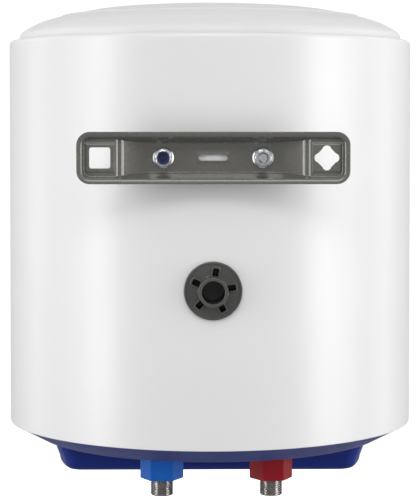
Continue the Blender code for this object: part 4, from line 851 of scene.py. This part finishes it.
def makeBracket(size):
    low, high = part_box("wall_bracket")
    length, height = high.x - low.x, high.z - low.z
    size = dict(size, deep=high.y - low.y - size["sheet"])
    x, _, z = middleOf("wall_bracket")
    middle = Vector((x, high.y, z))
    bm = bmesh.new()
    rows = []
    for inset, loop in bracketLoops(size, length, height):
        rows.append([bm.verts.new((x, -bracketDepth(size, x, z, inset), z)) for x, z in loop])
    bridgeRows(bm, zip(rows, rows[1:]))
    bracket = newPiece("bracketFace", bm, finishOf("wall_bracket"))
    closeMiddle(bracket)
    thick = bracket.modifiers.new("sheet", "SOLIDIFY")
    thick.thickness = size["sheet"]
    thick.offset = -1
    thick.use_even_offset = True
    thick.use_quality_normals = True
    bakeShape(bracket)
    across = size["hookHole"]
    outlines = [roundedOutline(across, across, size["hookCorner"], 6, (size["hookX"], 0)),
                lobedOutline(size, -size["hookX"]),
                roundedOutline(*size["slot"], size["slot"][1] / 2 - 0.0001, 8)]
    for x in (size["stud"], -size["stud"]):
        outlines.append([(x + size["studHole"] * math.cos(a), size["studHole"] * math.sin(a))
                         for a in evenAngles(32)])
    sunk = Matrix.Rotation(math.radians(90), 4, "X")
    carve(bracket, *[place(prism("hole", outline, -0.01, 0.03), sunk) for outline in outlines])
    bracket.name = bracket.data.name = "wallBracket"
    place(bracket, Matrix.Translation(middle))
    return standFor(bracket, "wall_bracket")


def closeMiddle(piece):  # zips the two long sides of the last loop together
    bm = bmesh.new()
    bm.from_mesh(piece.data)
    bmesh.ops.remove_doubles(bm, verts=bm.verts, dist=0.00022)
    rim = max(abs(v.co.x) for v in bm.verts)
    inner = [e for e in bm.edges if e.is_boundary and max(abs(v.co.z) for v in e.verts) < 0.002
             and max(abs(v.co.x) for v in e.verts) < rim - 0.01]
    if inner:
        bmesh.ops.holes_fill(bm, edges=inner, sides=0)
    bmesh.ops.recalc_face_normals(bm, faces=bm.faces)
    if sum(f.normal.y for f in bm.faces) < 0:
        bmesh.ops.reverse_faces(bm, faces=bm.faces)
    bm.to_mesh(piece.data)
    bm.free()


makeBracket(bracketSize)
print("wall bracket")


# studs and flange nuts

nutSize = dict(flats=0.0130, flange=0.00895, flangeThick=0.0020, bore=0.0042, chamfer=25, facets=96,
               mouth=0.0005, neck=0.0056, neckHeight=0.0026, ringSeat=0.00515, ringDepth=0.0022)


def makeNut(name, node, size, turn=0.0, lock=False):
    low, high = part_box(node)
    x, _, z = middleOf(node)
    height = high.y - low.y
    angles = evenAngles(size["facets"])
    corner = size["flats"] / math.sqrt(3)
    thick, flange, bore = size["flangeThick"], size["flange"], size["bore"]
    wallTop = height - size["neckHeight"] if lock else height
    lines = [(bore, 0), (flange - 0.0004, 0), (flange, 0.0004), (flange, thick * 0.45),
             (flange - 0.0003, thick * 0.62), (flange - 0.0009, thick * 0.78), (corner + 0.0002, thick)]
    rings = [roundRing(radius, at, angles) for radius, at in lines]
    rings.append(hexRing(thick + 0.0001, angles, size["flats"], corner, turn))
    for k in range(9):  # the chamfered upper corners
        at = wallTop - 0.0016 + 0.0016 * k / 8
        limit = size["flats"] / 2 - 0.00015 + (wallTop - at) / math.tan(math.radians(size["chamfer"]))
        rings.append(hexRing(at, angles, size["flats"], limit, turn))
    if lock:  # the neck that holds the nylon ring
        neck, seat = size["neck"], size["ringSeat"]
        lines = [(neck + 0.0003, wallTop + 0.0001), (neck, wallTop + 0.0006), (neck, height - 0.0007),
                 (neck - 0.0003, height - 0.0001), (seat + 0.0001, height), (seat, height - 0.0002),
                 (seat, height - size["ringDepth"] + 0.0001), (bore, height - size["ringDepth"])]
    else:
        lines = [(bore + size["mouth"], height), (bore, height - 0.0006)]
    rings += [roundRing(radius, at, angles) for radius, at in lines]
    nut = stackRings(name, rings, finishOf(node), loop=True)
    place(nut, facingWall(x, z, low.y))
    return standFor(nut, node)


makeNut("lockNut", "flange_nut_lock", nutSize, math.radians(8), lock=True)
makeNut("plainNut", "flange_nut_plain", nutSize, math.radians(24))


nylonSize = dict(bore=0.0037, radius=0.0051, facets=64)


def makeNylonRing(size):
    low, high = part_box("nylon_ring")
    x, _, z = middleOf("nylon_ring")
    depth = high.y - low.y
    section = softened([(size["bore"], 0), (size["radius"], 0), (size["radius"], depth, 0.0003),
                        (size["bore"], depth, 0.0005)], loop=True)
    ring = turned("nylonRing", section, finishOf("nylon_ring"), size["facets"], loop=True)
    place(ring, facingWall(x, z, low.y))
    return standFor(ring, "nylon_ring")


makeNylonRing(nylonSize)

studSize = dict(radius=0.0040, shoulder=0.0060, pitch=0.00125, depth=0.00062, chamfer=0.0006, facets=48)


def makeStud(name, node, size, paintedShadeEnd=None):
    low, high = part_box(node)
    x, _, z = middleOf(node)
    length = high.y - low.y
    shoulderEnd = -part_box("wall_bracket")[0].y
    neck = length - (shoulderEnd + high.y)
    radius, shoulder, chamfer = size["radius"], size["shoulder"], size["chamfer"]
    section = [(0, 0), (shoulder, 0), (shoulder, neck - 0.0003), (shoulder - 0.0003, neck),
               (radius, neck)]
    steps = int((length - neck) / size["pitch"] * 8)
    section += [(radius, neck + (length - neck - chamfer) * k / steps) for k in range(1, steps)]
    section += [(radius, length - chamfer), (radius - chamfer, length), (0, length)]
    stud = turned(name, section, finishOf(node), size["facets"])
    runTree(stud, threading, pitch=size["pitch"], depth=size["depth"], coreRadius=radius * 0.9,
            start=neck + 0.0005, end=length + 0.0002, fade=0.0012, finish=finishOf(node))
    place(stud, facingWall(x, z, low.y))
    if paintedShadeEnd:  # its end is coloured dark blue, painted shade where it sits in the lock nut
        stud.data.materials.append(finishes[paintedShadeEnd])
        for face in stud.data.polygons:
            face.material_index = int(face.center.y > high.y - 1.3 * chamfer)
    return standFor(stud, node)


# the left stud's end is coloured dark blue as painted shade inside the lock nut
makeStud("studLeft", "bracket_stud_left", studSize, paintedShadeEnd="blueNylon")
makeStud("studRight", "bracket_stud_right", studSize)
print("studs and nuts")


# wall spacer: a disc with raised rims round five slots, and a tube out to the wall

spacerSize = dict(radius=0.0254, disc=0.0025, gap=0.0197, tube=0.0127, bore=0.0100, boreFloor=0.0342,
                  barrel=0.0225, wall=0.0015, slots=5, slotInner=0.0129, slotOuter=0.0199,
                  slotWidth=0.0054, slotCorner=0.0012, rimWidth=0.0010, rimHeight=0.0008, turn=8,
                  facets=128)


def makeSpacer(size):
    x, _, z = middleOf("wall_spacer")
    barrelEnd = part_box("wall_spacer")[0].y
    back = -size["gap"]  # the disc lies on the jacket, the tube ends at the wall
    face = back + size["disc"]
    radius, tube, bore = size["radius"], size["tube"], size["bore"]
    section = softened([
        (0, barrelEnd), (size["barrel"], barrelEnd, 0.0004), (size["barrel"], back),
        (radius, back, 0.0003), (radius, face, 0.0009), (radius - 0.0016, face + 0.0002, 0.0004),
        (radius - 0.0024, face - 0.0002, 0.0003), (tube + 0.0006, face - 0.0002, 0.0005),
        (tube, face + 0.0008, 0.0004), (tube, 0, 0.0005), (bore, 0, 0.0006),
        (bore, -size["boreFloor"], 0.0006), (0, -size["boreFloor"]),
    ], steps=4)
    spacer = turned("wallSpacer", section, finishOf("wall_spacer"), size["facets"])
    middle = (size["slotInner"] + size["slotOuter"]) / 2
    length, width = size["slotOuter"] - size["slotInner"], size["slotWidth"]
    rim, corner = size["rimWidth"], size["slotCorner"]
    rimLine = roundedOutline(length + 2 * rim, width + 2 * rim, corner + rim, 6, (middle + rim * 0.2, 0))
    slotLine = roundedOutline(length, width, corner, 6, (middle, 0))
    raised = prism("slotRims", rimLine, back + 0.0012, face + size["rimHeight"], edge=0.0004)
    opening = prism("slotHoles", slotLine, barrelEnd + size["wall"], face + 0.003)
    first = math.radians(-90 - size["turn"])
    step = -math.tau / size["slots"]
    for piece in (raised, opening):
        runTree(piece, circling, count=size["slots"], firstTurn=first, stepTurn=step,
                finish=finishOf("wall_spacer"))
    carve(spacer, raised, operation="UNION")
    carve(spacer, opening)
    place(spacer, facingWall(x, z))
    return standFor(spacer, "wall_spacer")


makeSpacer(spacerSize)
print("wall spacer")


# hexagon collars and threaded pipe ends

collarSize = dict(flats=0.0345, bore=0.0108, facets=144, topCut=0.0008, lowCut=0.0010)


def makeCollar(name, node, size, turn=0.0):
    low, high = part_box(node)
    x, y, _ = middleOf(node)
    height = high.z - low.z
    half = size["flats"] / 2
    angles = evenAngles(size["facets"])

    def hexAt(at, limit, inset=0.0):
        return hexRing(at, angles, size["flats"] - 2 * inset, limit, turn + math.radians(30), 90)

    rings = [roundRing(size["bore"] + 0.0008, 0, angles), roundRing(half - 0.0016, 0, angles)]
    for k in range(8):  # corners cut back at the lower end
        at = 0.0002 + size["lowCut"] * k / 7
        rings.append(hexAt(at, half + 0.0016 + at * 1.6, 0.0003 * (1 - k / 7) ** 2))
    rings += [hexAt(height * 0.35, 1), hexAt(height * 0.65, 1)]
    for k in range(6):  # and, less, at the upper end
        at = height - 0.0001 - size["topCut"] * (1 - k / 5)
        rings.append(hexAt(at, half + 0.0013 + (height - at) * 2.0, 0.0003 * (k / 5) ** 2))
    for radius, at in ((half - 0.0012, height), (size["bore"], height), (size["bore"], 0.0008)):
        rings.append(roundRing(radius, at, angles))
    collar = stackRings(name, rings, finishOf(node), loop=True)
    place(collar, Matrix.Translation((x, y, low.z)))
    return standFor(collar, node)


makeCollar("coldCollar", "cold_hex_collar", collarSize)
makeCollar("hotCollar", "hot_hex_collar", collarSize, math.radians(4))

pipeSize = dict(bore=0.0075, pitch=0.001814, depth=0.00116, chamfer=0.0010, facets=96, threadTop=0.040)


def makePipe(name, node, size):
    low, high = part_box(node)
    x, y, _ = middleOf(node)
    radius, height = (high.x - low.x) / 2, high.z - low.z
    bore, chamfer = size["bore"], size["chamfer"]
    section = [(bore, 0.0006), (bore + 0.0005, 0), (radius - chamfer, 0), (radius, chamfer)]
    steps = int(size["threadTop"] / size["pitch"] * 10)
    for k in range(1, steps + 1):
        section.append((radius, chamfer + (size["threadTop"] - chamfer) * k / steps))
    section += [(radius, height - 0.0005), (radius - 0.0005, height), (bore, height)]
    pipe = turned(name, section, finishOf(node), size["facets"], loop=True)
    runTree(pipe, threading, pitch=size["pitch"], depth=size["depth"], coreRadius=radius * 0.93,
            start=0.0002, end=size["threadTop"], fade=0.0016, finish=finishOf(node))
    place(pipe, Matrix.Translation((x, y, low.z)))
    return standFor(pipe, node)


makePipe("coldPipe", "cold_inlet_nipple", pipeSize)
makePipe("hotPipe", "hot_outlet_nipple", pipeSize)
print("collars and pipes")


# thermostat knob: a skirt, a fluted grip and a raised pointer bar

knobSize = dict(skirt=0.0030, grip=0.0168, flutes=18, fluteDepth=0.0010, bar=(0.0300, 0.0062, 0.0016),
                hub=0.0033, facets=216)


def makeKnob(size):
    low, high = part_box("thermostat_knob")
    x, y, _ = middleOf("thermostat_knob")
    radius, roof = (high.x - low.x) / 2, high.z - low.z
    long, wide, deep = size["bar"]
    body = deep * 0.75
    section = softened([
        (0, body), (size["grip"] - 0.0022, body, 0.0014), (size["grip"], body + 0.0040, 0.0012),
        (size["grip"] + 0.0006, roof - size["skirt"] - 0.0004, 0.0006),
        (radius - 0.0006, roof - size["skirt"], 0.0005), (radius, roof - size["skirt"] * 0.5, 0.0006),
        (radius, roof, 0.0003), (size["hub"], roof), (size["hub"], roof * 0.5),
        (0, roof * 0.5)], steps=6)
    knob = turned("thermostatKnob", section, finishOf("thermostat_knob"), size["facets"])
    runTree(knob, fluting, flutes=float(size["flutes"]), depth=size["fluteDepth"],
            coreRadius=size["grip"] * 0.8, start=body + 0.0002, end=roof - size["skirt"] + 0.0001,
            fade=0.0016, finish=finishOf("thermostat_knob"))
    grip = prism("bar", roundedOutline(long, wide, wide / 2 - 0.0002, 10), -0.0040, 0.0, edge=0.0008)
    place(grip, Matrix.Rotation(math.pi, 4, "X"))
    carve(knob, grip, operation="UNION")
    place(knob, Matrix.Translation((x, y, low.z)))
    return standFor(knob, "thermostat_knob", body="knob")


makeKnob(knobSize)


# reset button, lamp lens, cable gland and the cap's screws

def makeReset():
    low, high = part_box("reset_button")
    x, y, _ = middleOf("reset_button")
    radius, height = (high.x - low.x) / 2, high.z - low.z
    section = softened([(0, 0.0003), (radius * 0.5, 0.0001, 0.0003), (radius * 0.8, 0, 0.0002),
                        (radius, 0.0006, 0.0004), (radius, height, 0.0002), (0, height)])
    button = turned("resetButton", section, finishOf("reset_button"), 48)
    place(button, Matrix.Translation((x, y, low.z)))
    return standFor(button, "reset_button", body="reset")


makeReset()

lensSize = dict(neck=0.0050, flutes=24, fluteDepth=0.00035, facets=144)


def makeLens(size):
    low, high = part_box("lamp_lens")
    x, y, _ = middleOf("lamp_lens")
    radius, height = (high.x - low.x) / 2, high.z - low.z
    neck = size["neck"]
    drumFoot = jacketFoot - capSize["drumDepth"]
    flange = height - (high.z - drumFoot) - 0.0003  # stops just below the drum
    section = softened([(0, 0), (radius * 0.55, 0.0001, 0.0016), (radius * 0.88, 0.0008, 0.0008),
                        (radius, flange * 0.7, 0.0004), (radius, flange, 0.0002), (neck, flange),
                        (neck, height, 0.0003), (0, height)])
    lens = turned("lampLens", section, finishOf("lamp_lens"), size["facets"])
    runTree(lens, fluting, flutes=float(size["flutes"]), depth=size["fluteDepth"],
            coreRadius=radius * 0.55, start=0.0, end=flange * 0.75, fade=0.0004,
            finish=finishOf("lamp_lens"))
    place(lens, Matrix.Translation((x, y, low.z)))
    return standFor(lens, "lamp_lens")


makeLens(lensSize)

glandSize = dict(thread=0.0075, bore=0.0040, head=0.0060, flutes=16, fluteDepth=0.0007, facets=128,
                 pitch=0.0015, threadDepth=0.0006)


def makeGland(size):
    low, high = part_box("cable_gland")
    x, y, _ = middleOf("cable_gland")
    radius, height = (high.x - low.x) / 2, high.z - low.z
    head = size["head"]
    section = softened([
        (size["bore"], 0.0008, 0.0004), (size["bore"] + 0.0009, 0.0001, 0.0005),
        (radius - 0.0032, 0, 0.0007), (radius - 0.0002, 0.0030, 0.0010), (radius, head, 0.0004),
        (size["thread"], head)], steps=4)
    steps = int((height - head) / size["pitch"] * 8)
    section += [(size["thread"], head + (height - head) * k / steps) for k in range(1, steps)]
    section += [(size["thread"] - 0.0004, height), (size["bore"], height)]
    gland = turned("cableGland", section, finishOf("cable_gland"), size["facets"], loop=True)
    runTree(gland, fluting, flutes=float(size["flutes"]), depth=size["fluteDepth"],
            coreRadius=radius * 0.8, start=0.0012, end=head - 0.0004, fade=0.0010,
            finish=finishOf("cable_gland"))
    runTree(gland, threading, pitch=size["pitch"], depth=size["threadDepth"],
            coreRadius=size["thread"] * 0.9, start=head + 0.0004, end=height, fade=0.0006,
            finish=finishOf("cable_gland"))
    place(gland, Matrix.Translation((x, y, low.z)))
    return standFor(gland, "cable_gland")


makeGland(glandSize)

screwSize = dict(head=0.0037, crown=0.0018, shank=0.0018, length=0.0048, seat=0.0003,
                 cross=(0.0044, 0.0009, 0.0012), first=-20, step=-70, count=3, facets=48)


def makeCapScrews(size):
    seat = jacketRadius + size["seat"]
    end, shank, head, crown = -size["length"], size["shank"], size["head"], size["crown"]
    section = softened([
        (0, end), (shank * 0.5, end, 0.0003), (shank, end + 0.0008), (shank, -0.002), (shank, -0.0012),
        (shank, 0), (head, 0, 0.0003), (head - 0.0002, crown * 0.55, 0.0005),
        (head * 0.6, crown * 0.95, 0.0007), (0, crown)], steps=4)
    screw = turned("capScrews", section, finishOf("cap_screw_1"), size["facets"])
    long, wide, deep = size["cross"]
    for turn in (0, 90):
        slot = prism("cross", roundedOutline(long, wide, wide * 0.3, 3),
                     size["crown"] - deep, size["crown"] + 0.001)
        place(slot, Matrix.Rotation(math.radians(turn + 20), 4, "Z"))
        carve(screw, slot)
    place(screw, Matrix.Translation((seat, 0, 0)) @ Matrix.Rotation(math.radians(90), 4, "Y"))
    runTree(screw, circling, count=size["count"], firstTurn=math.radians(size["first"]),
            stepTurn=math.radians(size["step"]), finish=finishOf("cap_screw_1"))
    place(screw, Matrix.Translation((axisX, axisY, middleOf("cap_screw_1")[2])))
    return standFor(screw, "cap_screw_1", "cap_screw_2", "cap_screw_3")


makeCapScrews(screwSize)
print("knob, button, lamp, gland and screws")


# stage, light and camera

floorSize = dict(radius=14, height=-3.0, tone=(0.72, 0.78), glow=(0.10, 1.05), glowFrom=1.0, glowTo=4.0)


def makeFloor(size):
    heights = (size["height"] - 0.05, size["height"])
    floor = stackRings("floor", [roundRing(size["radius"], z, evenAngles(96)) for z in heights])
    material = bpy.data.materials.new("paleFloor")
    material.use_nodes = True
    tree = material.node_tree
    shader = tree.nodes["Principled BSDF"]
    spot = tree.nodes.new("ShaderNodeTexCoord")
    cloud = tree.nodes.new("ShaderNodeTexNoise")
    cloud.inputs["Scale"].default_value = 2.5
    tone = tree.nodes.new("ShaderNodeMapRange")
    tone.inputs["To Min"].default_value, tone.inputs["To Max"].default_value = size["tone"]
    apart = tree.nodes.new("ShaderNodeSeparateXYZ")
    tree.links.new(spot.outputs["Object"], cloud.inputs["Vector"])
    tree.links.new(spot.outputs["Object"], apart.inputs[0])
    tree.links.new(cloud.outputs["Fac"], tone.inputs["Value"])
    tree.links.new(tone.outputs["Result"], shader.inputs["Base Color"])
    away = fromAxis(tree, apart.outputs[0], apart.outputs[1])
    # the pale floor runs out into the white backdrop
    glow = rangeOf(tree, away, size["glowFrom"], size["glowTo"], *size["glow"])
    tree.links.new(glow, shader.inputs["Emission Strength"])
    shader.inputs["Roughness"].default_value = 0.9
    shader.inputs["Emission Color"].default_value = (1, 1, 1, 1)
    floor.data.materials.append(material)
    # only the camera sees it
    floor.visible_diffuse = False
    floor.visible_glossy = False
    floor.visible_transmission = False
    floor.visible_shadow = False


lightSize = dict(above=0.75, below=0.38, backdrop=1.05, aim=-0.08, distance=1.7, middle=-0.02,
                 width=0.45, height=1.5,
                 boxes=((60, 12.3), (-60, 11.6), (75, 2.4), (-75, 5.4), (110, 2.4), (-110, 2.3)),
                 fill=dict(azimuth=4, distance=2.6, z=1.9, width=2.0, height=1.0, power=24))


def addSoftBox(name, aimZ, azimuth, distance, z, width, height, power):
    light = bpy.data.lights.new(name, "AREA")
    light.shape = "RECTANGLE"
    light.size = width
    light.size_y = height
    light.energy = power
    lamp = bpy.data.objects.new(name, light)
    bpy.context.scene.collection.objects.link(lamp)
    turn = math.radians(azimuth)  # 0 is on the wall's side, positive towards +x
    lamp.location = (axisX + distance * math.sin(turn), axisY + distance * math.cos(turn), z)
    aim = Vector((axisX, axisY, aimZ)) - lamp.location
    lamp.rotation_euler = aim.to_track_quat("-Z", "Y").to_euler()


def makeWorld(size):
    world = bpy.data.worlds.new("studio")
    bpy.context.scene.world = world
    world.use_nodes = True
    tree = world.node_tree
    back = tree.nodes["Background"]
    back.inputs["Color"].default_value = (1, 1, 1, 1)
    spot = tree.nodes.new("ShaderNodeTexCoord")
    apart = tree.nodes.new("ShaderNodeSeparateXYZ")
    tree.links.new(spot.outputs["Generated"], apart.inputs[0])
    sky = rangeOf(tree, apart.outputs[2], -0.3, 0.5, size["below"], size["above"])
    path = tree.nodes.new("ShaderNodeLightPath")
    seen = path.outputs["Is Camera Ray"]
    direct = calc(tree, "MULTIPLY", seen, size["backdrop"])
    other = calc(tree, "MULTIPLY", calc(tree, "SUBTRACT", 1, seen), sky)
    tree.links.new(calc(tree, "ADD", direct, other), back.inputs["Strength"])


def makeLights(size):
    for azimuth, power in size["boxes"]:
        addSoftBox(f"softBox{azimuth}", size["aim"], azimuth, size["distance"], size["middle"],
                   size["width"], size["height"], power)
    addSoftBox("frontFill", size["aim"], **size["fill"])
    makeWorld(size)


cameraSize = dict(distance=1.7203, aside=0.0248, eye=0.0098, drop=1.846, turn=0.797,
                  lens=127.84, shift=-0.14)


def makeCamera(size):
    data = bpy.data.cameras.new("camera")
    data.lens = size["lens"]
    data.sensor_width = 36
    data.shift_y = size["shift"]
    data.clip_start = 0.05
    data.clip_end = 60
    camera = bpy.data.objects.new("camera", data)
    bpy.context.scene.collection.objects.link(camera)
    camera.location = (axisX + size["aside"], axisY + size["distance"], size["eye"])
    camera.rotation_euler = (math.radians(90 - size["drop"]), 0, math.radians(180 - size["turn"]))
    bpy.context.scene.camera = camera


makeFloor(floorSize)
makeLights(lightSize)
makeCamera(cameraSize)
bpy.context.scene.view_settings.view_transform = "Standard"
print("stage, light and camera")
